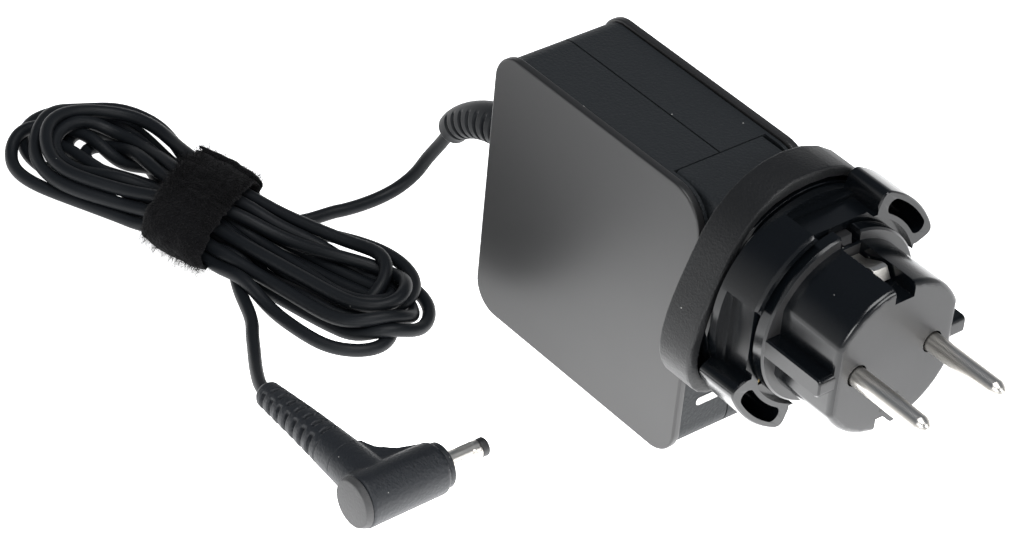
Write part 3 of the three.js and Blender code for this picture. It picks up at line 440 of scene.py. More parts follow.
# %% The cord as one tube
RELIEF_TIP = (-28.3, 0, 20.4)
CORD_START, CORD_FINISH = (-27.4, 0, 21.6), (7.2, -71.25, 4.4)
CORD_SIDES = 16
cord_line = evenly(smooth_through(np.vstack([CORD_START, cord_line, CORD_FINISH]), 3), 1)
cord = sweep("output_cord", cord_line, lambda s, angle: CORD_RADIUS, CORD_SIDES, carried_frames)
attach(cord, "adapter")
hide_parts("cord_lead_out", "cord_hank", "cord_tail")

# %% [markdown]
# ## The strain relief at the block
# It is a soft tapered moulding with narrow grooves that let it bend. The grooves stop short of the top,
# where a plain spine is left. Cutting them with booleans would leave ragged edges; here the radius itself
# drops inside each groove, with soft shoulders.

# %% Strain relief
RELIEF_LINE = [
    (0.2, 0, 31.5), (-5, 0, 31.5), (-11, 0, 30.9), (-17, 0, 29.1), (-22.3, 0, 26.3), (-26.4, 0, 22.9),
    RELIEF_TIP,
]
RELIEF_BASE, RELIEF_TAPER = 5.35, 2.0
RIB_FIRST, RIB_PITCH, RIBS, RIB_GROOVE, RIB_DEPTH = 3.2, 2.75, 10, 0.85, 1.15
SWEEP_STEP = 0.14


def soft_step(x, low, high):
    """Rises smoothly from 0 at low to 1 at high."""
    t = min(max((x - low) / (high - low), 0), 1)
    return t * t * (3 - 2 * t)


def slot_depth(s, first, pitch, count, width, depth):
    """How deep a row of slots is at distance s along a moulding."""
    index = round((s - first) / pitch)
    if not 0 <= index < count:
        return 0
    off = abs(s - first - index * pitch)
    return depth * (1 - soft_step(off, width / 2 - 0.15, width / 2 + 0.15))


def add_strain_relief():
    line = evenly(smooth_through(RELIEF_LINE), SWEEP_STEP)
    total = float(np.linalg.norm(np.diff(line, axis=0), axis=1).sum())

    def radius_at(s, angle):
        base = RELIEF_BASE - RELIEF_TAPER * s / total
        base *= 1 - 0.35 * soft_step(s, total - 0.7, total) ** 3
        spine = soft_step(math.sin(angle), 0.45, 0.75)
        groove = slot_depth(s, RIB_FIRST, RIB_PITCH, RIBS, RIB_GROOVE, RIB_DEPTH)
        return base - groove * (1 - spine)

    relief = sweep("strain_relief_moulding", line, radius_at, 56)
    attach(relief, "adapter")
    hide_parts("strain_relief")
    print("strain relief", round(total, 1), "mm long")
    return relief


relief = add_strain_relief()

# %% [markdown]
# ## The connector
# One rubber moulding wraps the barrel's body, the arm and a thin web in the corner between them. It could
# be modelled by hand as one cage, but the blends between round forms are easier to get by joining simple
# forms, rebuilding the skin as fine voxels and smoothing it, which is also how a cast part looks.

# %% Connector's relief with its slots
CONNECTOR_X, CONNECTOR_Z = 43.5, 5.7
ARM_Y = -71.6
RELIEF_SLOTS, FIRST_SLOT, SLOT_PITCH, SLOT_WIDTH, SLOT_DEPTH = 7, 2.6, 2.78, 1.15, 1.3
NOTCH_WIDTH, NOTCH_DEPTH = 0.8, 0.8
LINE_WIDTH, LINE_DEPTH = 0.3, 0.35
CONNECTOR_RELIEF_LINE = [(6, -71.2, 4.3), (12, -71.5, 5), (20, ARM_Y, 5.5), (32.6, ARM_Y, CONNECTOR_Z)]


def add_connector_relief():
    line = evenly(smooth_through(CONNECTOR_RELIEF_LINE), SWEEP_STEP)
    total = float(np.linalg.norm(np.diff(line, axis=0), axis=1).sum())

    def radius_at(s, angle):
        base = 2.75 + 1.75 * s / total
        base *= 0.86 + 0.14 * soft_step(s, 0, 0.8)
        level = abs(math.cos(angle))
        sides = soft_step(level, 0.66, 0.76)
        ends = soft_step(1 - level, 0.55, 0.65)
        slots = slot_depth(s, FIRST_SLOT, SLOT_PITCH, RELIEF_SLOTS, SLOT_WIDTH, SLOT_DEPTH) * sides
        first_notch = FIRST_SLOT + SLOT_PITCH / 2
        notches = slot_depth(s, first_notch, SLOT_PITCH, RELIEF_SLOTS, NOTCH_WIDTH, NOTCH_DEPTH) * ends
        past_slots = FIRST_SLOT + SLOT_PITCH * RELIEF_SLOTS - 0.4
        fine_line = slot_depth(s, past_slots, 1, 1, LINE_WIDTH, LINE_DEPTH) * sides
        return base - slots - notches - fine_line

    piece = sweep("connector_relief_moulding", line, radius_at, 72)
    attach(piece, "adapter")
    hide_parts("connector_relief")
    return piece


connector_relief = add_connector_relief()
print("connector relief slots", RELIEF_SLOTS)

# %% Connector's body: joined forms with a new fine skin
BODY_BACK, BODY_FRONT, BODY_RADIUS = -77.0, -57.8, 5.6
SKIN_VOXEL, SKIN_SOFTENING = 0.26, 5


def add_connector_body():
    barrel = [(0, 0.01), (0, BODY_RADIUS - 0.2), (0.3, BODY_RADIUS), (18.2, BODY_RADIUS - 0.2),
              (18.9, BODY_RADIUS - 0.9), (18.95, BODY_RADIUS - 1.2), (19.3, BODY_RADIUS - 1.2), (19.3, 0.01)]
    back = at(CONNECTOR_X, BODY_BACK, CONNECTOR_Z)
    round_body = lathe("round_body", rounded(barrel, 0.25), back, (0, 1, 0))
    arm_line = evenly(np.array([(32.4, ARM_Y, CONNECTOR_Z), (CONNECTOR_X, ARM_Y, CONNECTOR_Z)], float), 0.5)
    arm = sweep("arm", arm_line, lambda s, angle: 4.5 + 0.06 * s, 40)
    corners = [(31.5, ARM_Y + 2), (31.5, ARM_Y + 3.9), (34.6, ARM_Y + 5.2), (37.2, ARM_Y + 8.4),
               (38.6, ARM_Y + 12.6), (CONNECTOR_X, ARM_Y + 12.6), (CONNECTOR_X, ARM_Y)]
    web = [at(x, y, CONNECTOR_Z + h) for h in (-2.6, 2.9) for x, y in corners]
    n = len(corners)
    sides = [(k, (k + 1) % n, n + (k + 1) % n, n + k) for k in range(n)]
    web = add_mesh("web", web, [tuple(range(n)), tuple(range(n, 2 * n)), *sides], False)
    bpy.ops.object.select_all(action="DESELECT")
    for part in (round_body, arm, web):
        part.select_set(True)
    bpy.context.view_layer.objects.active = round_body
    bpy.ops.object.join()
    skin = round_body.modifiers.new("skin", "REMESH")
    skin.mode, skin.voxel_size, skin.use_smooth_shade = "VOXEL", SKIN_VOXEL * MM, True
    soften = round_body.modifiers.new("soften", "SMOOTH")
    soften.factor, soften.iterations = 0.6, SKIN_SOFTENING
    bpy.ops.object.convert(target="MESH")
    round_body.name = round_body.data.name = "connector_moulding"
    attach(round_body, "adapter")
    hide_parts("connector_body")
    return round_body


connector_body = add_connector_body()
print("connector moulding", len(connector_body.data.vertices), "vertices")

# %% End cap, nose ring and metal barrel
def turned(name, profile, y, node, radius):
    piece = lathe(name, rounded(profile, radius), at(CONNECTOR_X, y, CONNECTOR_Z), (0, 1, 0), 64)
    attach(piece, "adapter")
    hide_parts(node)
    return piece


CAP_BACK = -78.4
cap = turned("connector_end_cap", [(0, 0.01), (0, 4.85), (1.15, 5.35), (1.35, 5.35), (1.35, 0.01)],
             CAP_BACK, "connector_cap", 0.25)
nose = turned("connector_nose_ring", [(0, 0.01), (0, 4.7), (1.2, 4.7), (1.3, 3.5), (2.0, 3.4), (2.0, 0.01)],
              BODY_FRONT - 0.3, "connector_nose", 0.2)


# Spring slots: direction round the barrel, start and end from its back, half width in radians.
BARREL_SLOTS = [(0.1, 3.4, 6.0, 0.3), (0.1, 5.6, 6.1, 0.75), (1.7, 2.8, 6.6, 0.22), (3.2, 3.4, 6.0, 0.3),
                (4.8, 2.8, 6.6, 0.22)]
BARREL_SLOT_DEPTH = 0.45


def add_barrel():
    """The plated sleeve: a turned piece whose radius drops where its spring slots are cut."""
    around, rows = 72, 90
    back, front, outer = -56.0, -48.2, 2.0
    vertices = []
    for r in range(rows):
        along = back + (front - back) * r / (rows - 1)
        for c in range(around):
            angle = 2 * math.pi * c / around
            window = 0
            for turn, start, end, width in BARREL_SLOTS:
                off = abs((angle - turn + math.pi) % (2 * math.pi) - math.pi)
                if start < along - back < end and off < width:
                    window = 1
            radius = outer - BARREL_SLOT_DEPTH * window - 0.12 * soft_step(along, front - 0.25, front)
            vertices.append(at(CONNECTOR_X + radius * math.cos(angle), along,
                               CONNECTOR_Z + radius * math.sin(angle)))
    piece = add_mesh("barrel_sleeve", vertices, capped(rows, around))
    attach(piece, "adapter")
    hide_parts("barrel_shell")
    return piece


def add_barrel_tip():
    """The insulating ring at the barrel's mouth, with its bore."""
    profile = [(0, 1.0), (0, 1.9), (1.5, 1.98), (1.75, 1.75), (1.75, 1.05), (0.3, 1.0)]
    around = 48
    vertices = []
    for along, radius in rounded(profile, 0.15):
        for angle in np.linspace(0, 2 * math.pi, around, endpoint=False):
            vertices.append(at(CONNECTOR_X + radius * math.cos(angle), -48.15 + along,
                               CONNECTOR_Z + radius * math.sin(angle)))
    rows = len(vertices) // around
    piece = add_mesh("barrel_tip", vertices, grid_faces(rows, around, closed_rows=True))
    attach(piece, "adapter")
    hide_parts("barrel_insulator")
    return piece


barrel, barrel_tip = add_barrel(), add_barrel_tip()
print("barrel", len(barrel.data.vertices), "vertices")

# %% [markdown]
# ## The strap
# A band of hook-and-loop tape, wrapped a little more than once round the hank and pressed onto itself.
# It is soft, so it takes the bundle's rounded shape, and its loop pile makes its outline fuzzy. A texture
# can't change an outline, so the pile is real: some thousands of short curled fibres in one mesh.

# %% Strap band
STRAP_CENTRE = (-2.0, 5.85)
STRAP_ROUND = (12.7, 4.5)
STRAP_SQUARENESS = 2.7
STRAP_THICK = 1.25
STRAP_TURNS = 1.22
STRAP_START = -0.35 * math.pi
random_numbers = np.random.default_rng(SEED)


def strap_point(angle, across, layer):
    """A point of the strap: angle round the bundle, across its width from -1 to 1, layer in mm outwards."""
    c, s = math.cos(angle), math.sin(angle)
    a, b = STRAP_ROUND
    reach = (abs(c / a) ** STRAP_SQUARENESS + abs(s / b) ** STRAP_SQUARENESS) ** (-1 / STRAP_SQUARENESS)
    broad = noise.noise(Vector((3 * c, 3 * s, across * 1.7)))
    wander = broad + 0.6 * noise.noise(Vector((8 * c, 8 * s, 3 * across)))
    reach += layer + 0.5 * wander
    v, z = STRAP_CENTRE[0] + reach * c, STRAP_CENTRE[1] + reach * s
    ragged = 0.8 * noise.noise(Vector((7 * c, 7 * s, 5 + across)))
    u = STRAP_U + STRAP_SLANT * (v - STRAP_CENTRE[0]) + across * (STRAP_HALF + ragged)
    return at(*on_hank(u, v, max(z, 0.15)))


def add_strap():
    """A closed band: an inner and an outer skin, in rows round the bundle, and the rims between them."""
    around, wide = 190, 22
    layers = []
    for skin in (0, 1):
        for r in range(around + 1):
            turned_by = 2 * math.pi * STRAP_TURNS * r / around
            lift = STRAP_THICK * max(0, turned_by - 2 * math.pi * (STRAP_TURNS - 0.42)) / (0.84 * math.pi)
            for w in range(wide + 1):
                across = 2 * w / wide - 1
                edge = 0.55 * abs(across) ** 5
                dome = 0.5 * (1 - across * across)
                layer = min(lift, STRAP_THICK) + (STRAP_THICK + dome - edge if skin else edge)
                layers.append(strap_point(STRAP_START + turned_by, across, layer))
    per_row, per_skin = wide + 1, (around + 1) * (wide + 1)
    faces = []
    for r in range(around):
        for w in range(wide):
            a = r * per_row + w
            for base in (0, per_skin):
                faces.append((base + a, base + a + 1, base + a + per_row + 1, base + a + per_row))
        for w in (0, wide):
            a = r * per_row + w
            faces.append((a, a + per_row, per_skin + a + per_row, per_skin + a))
    for r in (0, around):
        for w in range(wide):
            a = r * per_row + w
            faces.append((a, a + 1, per_skin + a + 1, per_skin + a))
    strap = add_mesh("strap_band", layers, faces)
    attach(strap, "adapter")
    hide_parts("cable_tie")
    return strap


strap = add_strap()

# %% Strap pile
FIBRES = 9000
FIBRE_RADIUS, FIBRE_ROOT = 0.036, 0.7
FIBRE_SIDES, FIBRE_BENDS = 3, (0.35, 0.7, 1.0)
LOWEST = 0.06


def add_pile():
    """Curled three-sided fibres, each rooted a little under the strap's outer skin."""
    vertices, faces = [], []
    for _ in range(FIBRES):
        turn = random_numbers.uniform(0.02, 1) * 2 * math.pi * STRAP_TURNS
        angle = STRAP_START + turn
        across = random_numbers.uniform(-1.0, 1.0)
        root = np.array(strap_point(angle, across, STRAP_THICK * 1.5))
        out = np.array(strap_point(angle, across, STRAP_THICK * 1.5 + 1)) - root
        out /= max(np.linalg.norm(out), 1e-9)
        lean = random_numbers.normal(size=3)
        lean /= np.linalg.norm(lean)
        near_table = min(1, max(0.2, (root[2] / MM - 0.3) / 1.5))
        length = (0.5 + 1.5 * random_numbers.random() ** 2) * near_table * MM
        curl = random_numbers.normal(size=3) * 0.6 * length
        points = [root - out * FIBRE_ROOT * MM]
        for t in FIBRE_BENDS:
            points.append(root + (0.55 * out + 0.8 * lean) * t * length + curl * math.sin(math.pi * t))
        base = len(vertices)
        for k, point in enumerate(points):
            wide = FIBRE_RADIUS * MM * (1 - 0.22 * k)
            side = np.cross(out, lean)
            side /= max(np.linalg.norm(side), 1e-9)
            other = np.cross(side, lean)
            for corner in range(FIBRE_SIDES):
                bearing = 2 * math.pi * corner / FIBRE_SIDES
                place = point + wide * (math.cos(bearing) * side + math.sin(bearing) * other)
                place[2] = max(place[2], LOWEST * MM)
                vertices.append(place)
        for k in range(len(FIBRE_BENDS)):
            for corner in range(FIBRE_SIDES):
                a, b = (base + FIBRE_SIDES * k + n for n in (corner, (corner + 1) % FIBRE_SIDES))
                faces.append((a, b, b + FIBRE_SIDES, a + FIBRE_SIDES))
        for end in (base, base + FIBRE_SIDES * len(FIBRE_BENDS)):
            faces.append(tuple(range(end, end + FIBRE_SIDES)))
    pile = add_mesh("strap_pile", vertices, faces)
    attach(pile, "adapter")
    return pile


pile = add_pile()

# %% [markdown]
# ## The round pins
# Nickel-plated brass, turned from bar. The engineering pins are coarse prisms, so finer ones stand for
# them: the same length and thickness, a rounded shoulder and a blunt chamfered tip.

# %% Round pins
def add_pin(node):
    low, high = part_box(node)
    middle, length = (low + high) / 2, (high.x - low.x) / MM
    radius = (high.z - low.z) / 2 / MM
    profile = [(0, 0.01), (0, radius), (length - 1.9, radius), (length - 0.75, radius * 0.72),
               (length - 0.2, radius * 0.46), (length, radius * 0.3), (length, 0.01)]
    place = Vector((low.x, middle.y, middle.z))
    pin = lathe(node + "_turned", rounded(profile, 0.35, 5), place, (1, 0, 0), 64)
    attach(pin, "converter")
    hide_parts(node)
    return pin


pins = [add_pin("round_pin_near"), add_pin("round_pin_far")]
print("pins", [pin.name for pin in pins])

# %% A small pale bar printed on the block's end face
def add_mark():
    x = (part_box("front_shell")[1].x - CORD_END) / MM + 0.02
    half_y, half_z, corner = 3.0, 0.9, 0.75
    centre_y, centre_z = -5.8, 12.1
    outline = []
    for cy, cz, start in ((1, 1, 0), (-1, 1, 90), (-1, -1, 180), (1, -1, 270)):
        for step in range(7):
            angle = math.radians(start + 15 * step)
            outline.append((centre_y + cy * (half_y - corner) + corner * math.cos(angle),
                            centre_z + cz * (half_z - corner) + corner * math.sin(angle)))
    n = len(outline)
    vertices = [at(x + rise, y, z) for rise in (0, 0.05) for y, z in outline]
    sides = [(k, (k + 1) % n, n + (k + 1) % n, n + k) for k in range(n)]
    mark = add_mesh("pale_mark", vertices, [tuple(range(n)), tuple(range(n, 2 * n)), *sides], False)
    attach(mark, "adapter")
    return mark


mark = add_mark()
print("pale bar on the end face, with no lettering")

# %% [markdown]
# ## Edges that catch light
# Real mouldings have no sharp edges. The engineering pieces keep their meshes, and modifiers round their
# edges a little, after welding the corners that the file format splits. A small node modifier then marks
# the faces smooth and keeps the edges that are still steep crisp, and weighted normals keep the large faces
# flat.

# %% Smooth-shading modifier
CRISP_EDGE = math.radians(36)


def smooth_group():
    """Smooth faces, but with every edge sharper than the limit kept crisp."""
    group = bpy.data.node_groups.new("shade_smooth", "GeometryNodeTree")
    group.interface.new_socket("Geometry", in_out="INPUT", socket_type="NodeSocketGeometry")
    group.interface.new_socket("Geometry", in_out="OUTPUT", socket_type="NodeSocketGeometry")
    entry, leave = group.nodes.new("NodeGroupInput"), group.nodes.new("NodeGroupOutput")
    faces = group.nodes.new("GeometryNodeSetShadeSmooth")
    edges = group.nodes.new("GeometryNodeSetShadeSmooth")
    edges.domain = "EDGE"
    edges.inputs["Shade Smooth"].default_value = False
    angle = group.nodes.new("GeometryNodeInputMeshEdgeAngle")
    sharp = group.nodes.new("FunctionNodeCompare")
    sharp.data_type, sharp.operation = "FLOAT", "GREATER_THAN"
    sharp.inputs["B"].default_value = CRISP_EDGE
    group.links.new(angle.outputs["Unsigned Angle"], sharp.inputs["A"])
    group.links.new(sharp.outputs["Result"], edges.inputs["Selection"])
    group.links.new(entry.outputs[0], faces.inputs["Geometry"])
    group.links.new(faces.outputs["Geometry"], edges.inputs["Geometry"])
    group.links.new(edges.outputs["Geometry"], leave.inputs[0])
    return group


SHADE_SMOOTH = smooth_group()
ROUNDED_EDGE, WELD = math.radians(38), 0.01
EDGE = {
    "front_cover": 0.12, "back_cover": 0.12, "front_shell": 0.25, "back_shell": 0.25, "plug_block": 0.3,
    "plug_collar": 0.35, "converter_ring": 0.28, "converter_base": 0.25, "converter_head": 0.3,
    "earth_clip_top": 0.12, "earth_clip_bottom": 0.12,
}


def soften_edges(node, width):
    piece = frame["nodes"][node]
    weld = piece.modifiers.new("weld", "WELD")
    weld.merge_threshold = WELD * MM
    bevel = piece.modifiers.new("edges", "BEVEL")
    bevel.width, bevel.segments, bevel.limit_method = width * MM, 3, "ANGLE"
    bevel.angle_limit, bevel.use_clamp_overlap = ROUNDED_EDGE, True
    shade = piece.modifiers.new("smooth", "NODES")
    shade.node_group = SHADE_SMOOTH
    normals = piece.modifiers.new("normals", "WEIGHTED_NORMAL")
    normals.keep_sharp = True


for node, width in EDGE.items():
    soften_edges(node, width)
print("softened", len(EDGE), "pieces")

# %% [markdown]
# ## Finishes
# Every black plastic here is a different black: satin paint, spark-eroded grain, polished moulding, soft
# vinyl and pile. Three effects are shared: a moulded grain that only bends the light, faint handling marks
# that change the gloss, and a little dust. Each is a node group, built once and used with other values.

# %% Shared node groups
def open_group(name, inputs, outputs):
    group = bpy.data.node_groups.new(name, "ShaderNodeTree")
    for label, value in inputs:
        socket = group.interface.new_socket(label, in_out="INPUT", socket_type="NodeSocketFloat")
        socket.default_value = value
    for label in outputs:
        group.interface.new_socket(label, in_out="OUTPUT", socket_type="NodeSocketFloat")
    return group, group.nodes.new("NodeGroupInput"), group.nodes.new("NodeGroupOutput")


def wire(tree, source, target):
    tree.links.new(source, target)


def add_node(tree, kind, **values):
    node = tree.nodes.new(kind)
    for key, value in values.items():
        if hasattr(node, key):
            setattr(node, key, value)
        else:
            node.inputs[key.replace("_", " ")].default_value = value
    return node


def math_node(tree, operation, a, b, clamp=False):
    node = tree.nodes.new("ShaderNodeMath")
    node.operation, node.use_clamp = operation, clamp
    for index, value in enumerate((a, b)):
        if hasattr(value, "is_linked"):
            tree.links.new(value, node.inputs[index])
        else:
            node.inputs[index].default_value = value
    return node.outputs[0]


def mix_colour(tree, factor, a, b):
    """A blend of two colours, each a socket or a fixed colour."""
    node = tree.nodes.new("ShaderNodeMix")
    node.data_type = "RGBA"
    wire(tree, factor, node.inputs["Factor"])
    for label, value in (("A", a), ("B", b)):
        if hasattr(value, "is_linked"):
            wire(tree, value, node.inputs[label])
        else:
            node.inputs[label].default_value = value
    return node.outputs["Result"]


def distance_from(tree, place, middle):
    node = tree.nodes.new("ShaderNodeVectorMath")
    node.operation = "DISTANCE"
    wire(tree, place, node.inputs[0])
    node.inputs[1].default_value = middle
    return node.outputs["Value"]


def moulded_grain_group():
    """Fine rounded pits and lumps, as spark erosion leaves in a mould. Grain is in repeats per metre."""
    group, entry, leave = open_group("moulded grain", [("Grain", 2500.0), ("Patches", 0.25)],
                                     ["Height", "Tone"])
    place = group.nodes.new("ShaderNodeTexCoord").outputs["Object"]
    fine = add_node(group, "ShaderNodeTexNoise", Detail=2.5, Roughness=0.62)
    wire(group, place, fine.inputs["Vector"])
    wire(group, entry.outputs["Grain"], fine.inputs["Scale"])
    cells = add_node(group, "ShaderNodeTexVoronoi", feature="F1")
    wire(group, place, cells.inputs["Vector"])
    wire(group, math_node(group, "MULTIPLY", entry.outputs["Grain"], 0.7), cells.inputs["Scale"])
    lumps = math_node(group, "MULTIPLY", cells.outputs["Distance"], 0.55)
    wire(group, math_node(group, "ADD", fine.outputs["Fac"], lumps), leave.inputs["Height"])
    broad = add_node(group, "ShaderNodeTexNoise", Scale=38.0, Detail=3.0)
    wire(group, place, broad.inputs["Vector"])
    mixed = math_node(group, "MULTIPLY", broad.outputs["Fac"], entry.outputs["Patches"])
    speck = math_node(group, "MULTIPLY", fine.outputs["Fac"], 0.5)
    wire(group, math_node(group, "ADD", mixed, speck), leave.inputs["Tone"])
    return group


def handling_group():
    """Faint smears and hair scratches that change only how glossy the surface is."""
    group, entry, leave = open_group("handling marks", [("Amount", 0.1)], ["Gloss"])
    place = group.nodes.new("ShaderNodeTexCoord").outputs["Object"]
    smear = add_node(group, "ShaderNodeTexNoise", Scale=55.0, Detail=4.0, Roughness=0.6)
    wire(group, place, smear.inputs["Vector"])
    stretch = add_node(group, "ShaderNodeMapping")
    stretch.inputs["Scale"].default_value = (140.0, 900.0, 260.0)
    stretch.inputs["Rotation"].default_value = (0.4, 0.3, 0.7)
    wire(group, place, stretch.inputs["Vector"])
    hair = add_node(group, "ShaderNodeTexNoise", Scale=1.0, Detail=2.0)
    wire(group, stretch.outputs["Vector"], hair.inputs["Vector"])
    both = math_node(group, "ADD", math_node(group, "MULTIPLY", smear.outputs["Fac"], 0.7),
                     math_node(group, "MULTIPLY", hair.outputs["Fac"], 0.3))
    centred = math_node(group, "SUBTRACT", both, 0.5)
    wire(group, math_node(group, "MULTIPLY", centred, entry.outputs["Amount"]), leave.inputs["Gloss"])
    return group


def dust_group():
    """A few tiny pale specks: the centres of sparse random cells."""
    group, entry, leave = open_group("dust", [("Spacing", 160.0), ("Size", 0.035)], ["Mask"])
    place = group.nodes.new("ShaderNodeTexCoord").outputs["Object"]
    cells = add_node(group, "ShaderNodeTexVoronoi", feature="F1")
    wire(group, place, cells.inputs["Vector"])
    wire(group, entry.outputs["Spacing"], cells.inputs["Scale"])
    inside = math_node(group, "LESS_THAN", cells.outputs["Distance"], entry.outputs["Size"])
    split = group.nodes.new("ShaderNodeSeparateColor")
    wire(group, cells.outputs["Color"], split.inputs["Color"])
    few = math_node(group, "GREATER_THAN", split.outputs[0], 0.6)
    wire(group, math_node(group, "MULTIPLY", inside, few), leave.inputs["Mask"])
    return group


GRAIN, MARKS, DUST = moulded_grain_group(), handling_group(), dust_group()
print("groups", [g.name for g in (GRAIN, MARKS, DUST)])

# %% One recipe for a finish
DUST_COLOUR = (0.42, 0.42, 0.4, 1)
SHEEN_ROUGHNESS = 0.55


def finish(name, colour, roughness, metallic=0.0, grain=2500.0, bump=0.1, depth=0.02, tone=0.2, marks=0.1,
           dust=None, specular=0.5, sheen=0.0):
    """A procedural material: grain in repeats per metre, depth in mm, tone the share of shade change."""
    material = bpy.data.materials.new(name)
    material.use_nodes = True
    tree = material.node_tree
    shader = tree.nodes["Principled BSDF"]
    for label, value in (("Metallic", metallic), ("Specular IOR Level", specular), ("Sheen Weight", sheen),
                         ("Sheen Roughness", SHEEN_ROUGHNESS)):
        shader.inputs[label].default_value = value
    texture = add_node(tree, "ShaderNodeGroup", node_tree=GRAIN)
    texture.inputs["Grain"].default_value = grain
    height = tree.nodes.new("ShaderNodeBump")
    height.inputs["Strength"].default_value = bump
    height.inputs["Distance"].default_value = depth * MM
    wire(tree, texture.outputs["Height"], height.inputs["Height"])
    wire(tree, height.outputs["Normal"], shader.inputs["Normal"])
    low, high = (tuple(c * f for c in colour) + (1,) for f in (1 - tone, 1 + tone))
    base = mix_colour(tree, texture.outputs["Tone"], low, high)
    if dust:
        specks = add_node(tree, "ShaderNodeGroup", node_tree=DUST)
        specks.inputs["Spacing"].default_value, specks.inputs["Size"].default_value = dust
        base = mix_colour(tree, specks.outputs["Mask"], base, DUST_COLOUR)
    wire(tree, base, shader.inputs["Base Color"])
    worn = add_node(tree, "ShaderNodeGroup", node_tree=MARKS)
    worn.inputs["Amount"].default_value = marks
    gloss = math_node(tree, "ADD", worn.outputs["Gloss"], roughness, clamp=True)
    wire(tree, gloss, shader.inputs["Roughness"])
    return material


FINISHES = {
    "cover": finish("satin grey cover", (0.013, 0.013, 0.0135), 0.4, grain=5200, bump=0.2, depth=0.012,
                    tone=0.1, marks=0.06, dust=(95, 0.022)),
    "shell": finish("grained black shell", (0.0115, 0.014, 0.0165), 0.6, grain=1900, bump=1.0, depth=0.12,
                    tone=0.35, marks=0.06, dust=(210, 0.03), specular=0.3),
    "collar": finish("grained black collar", (0.0055, 0.006, 0.0068), 0.46, grain=2600, bump=0.8, depth=0.08,
                     tone=0.3, marks=0.08, dust=(230, 0.03), specular=0.35),
    "gloss": finish("polished black converter", (0.0022, 0.003, 0.004), 0.2, grain=900, bump=0.05, depth=0.02,
                    tone=0.15, marks=0.12, dust=(300, 0.035)),
    "cord": finish("soft black vinyl", (0.0055, 0.007, 0.009), 0.48, grain=3800, bump=0.2, depth=0.02,
                   tone=0.2, marks=0.12, dust=(260, 0.02), specular=0.22),
    "connector": finish("matt black moulding", (0.0075, 0.0095, 0.013), 0.5, grain=1900, bump=0.9, depth=0.1,
                        tone=0.3, marks=0.1, dust=(420, 0.045), specular=0.4),
    "cap": finish("rubbed cap disc", (0.04, 0.04, 0.041), 0.6, grain=2200, bump=0.8, depth=0.08, tone=0.3,
                  marks=0.12, dust=(420, 0.03)),
    "strap": finish("black loop pile", (0.0042, 0.0042, 0.005), 0.95, grain=1500, bump=1.0, depth=0.35,
                    tone=0.7, marks=0.04, specular=0.1, sheen=0.05),
    "nickel": finish("bright nickel", (0.74, 0.715, 0.67), 0.3, metallic=1, grain=1800, bump=0.06, depth=0.01,
                     tone=0.12, marks=0.14),
    "brass": finish("drawn brass", (0.72, 0.52, 0.22), 0.3, metallic=1, bump=0.1, marks=0.2),
    "board": finish("green solder mask", (0.02, 0.11, 0.045), 0.35, grain=700, bump=0.15, tone=0.4),
    "ferrite": finish("pressed ferrite", (0.03, 0.03, 0.032), 0.7, grain=1800, bump=0.5, depth=0.05),
    "copper": finish("enamelled copper", (0.6, 0.23, 0.08), 0.3, metallic=1, grain=1500, bump=0.5, depth=0.1),
    "tape": finish("yellow tape", (0.62, 0.42, 0.05), 0.4, grain=1200, bump=0.2),
    "sleeve": finish("shrink sleeve", (0.015, 0.03, 0.075), 0.3, grain=900, bump=0.15),
    "resin": finish("moulded resin", (0.009, 0.009, 0.01), 0.5, grain=3000, bump=0.4, depth=0.04),
    "ceramic": finish("dipped ceramic", (0.33, 0.22, 0.06), 0.35, grain=700, bump=0.3, depth=0.08),
    "steel": finish("rolled steel", (0.5, 0.5, 0.5), 0.3, metallic=1, grain=1500, bump=0.15),
    "mark": finish("pale print", (0.8, 0.8, 0.78), 0.5, grain=3000, bump=0.1, tone=0.05),
}
print(len(FINISHES), "finishes")

# %% [markdown]
# The head of the converter is polished on its sides but satin on its front face, as a mould is often left,
# and that face is also given a lighter colour, a painted reflection of the bright table.
# One material does both: the surface's own direction, not the camera's, tells the front face from the rest,
# and two black dots at fixed places on that face are painted shade for two tiny dimples.

# %% The head's finish
# Two black dots on the front face: painted shade standing in for two tiny dimples.
DIMPLE_SHADE_PLACES = [(2.0, 37.0), (-1.4, 34.5)]
DIMPLE_SHADE_RADIUS = 0.55
FRONT_FACING, FRONT_ROUGHER = 0.93, 0.2
# The first colour lightens the front face: a painted reflection of the bright table.
PAINTED_REFLECTION_COLOUR, DIMPLE_SHADE_COLOUR = (0.03, 0.03, 0.031, 1), (0.0, 0.0, 0.0, 1)
HEAD_FRONT = (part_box("converter_head")[1].x - CORD_END) / MM


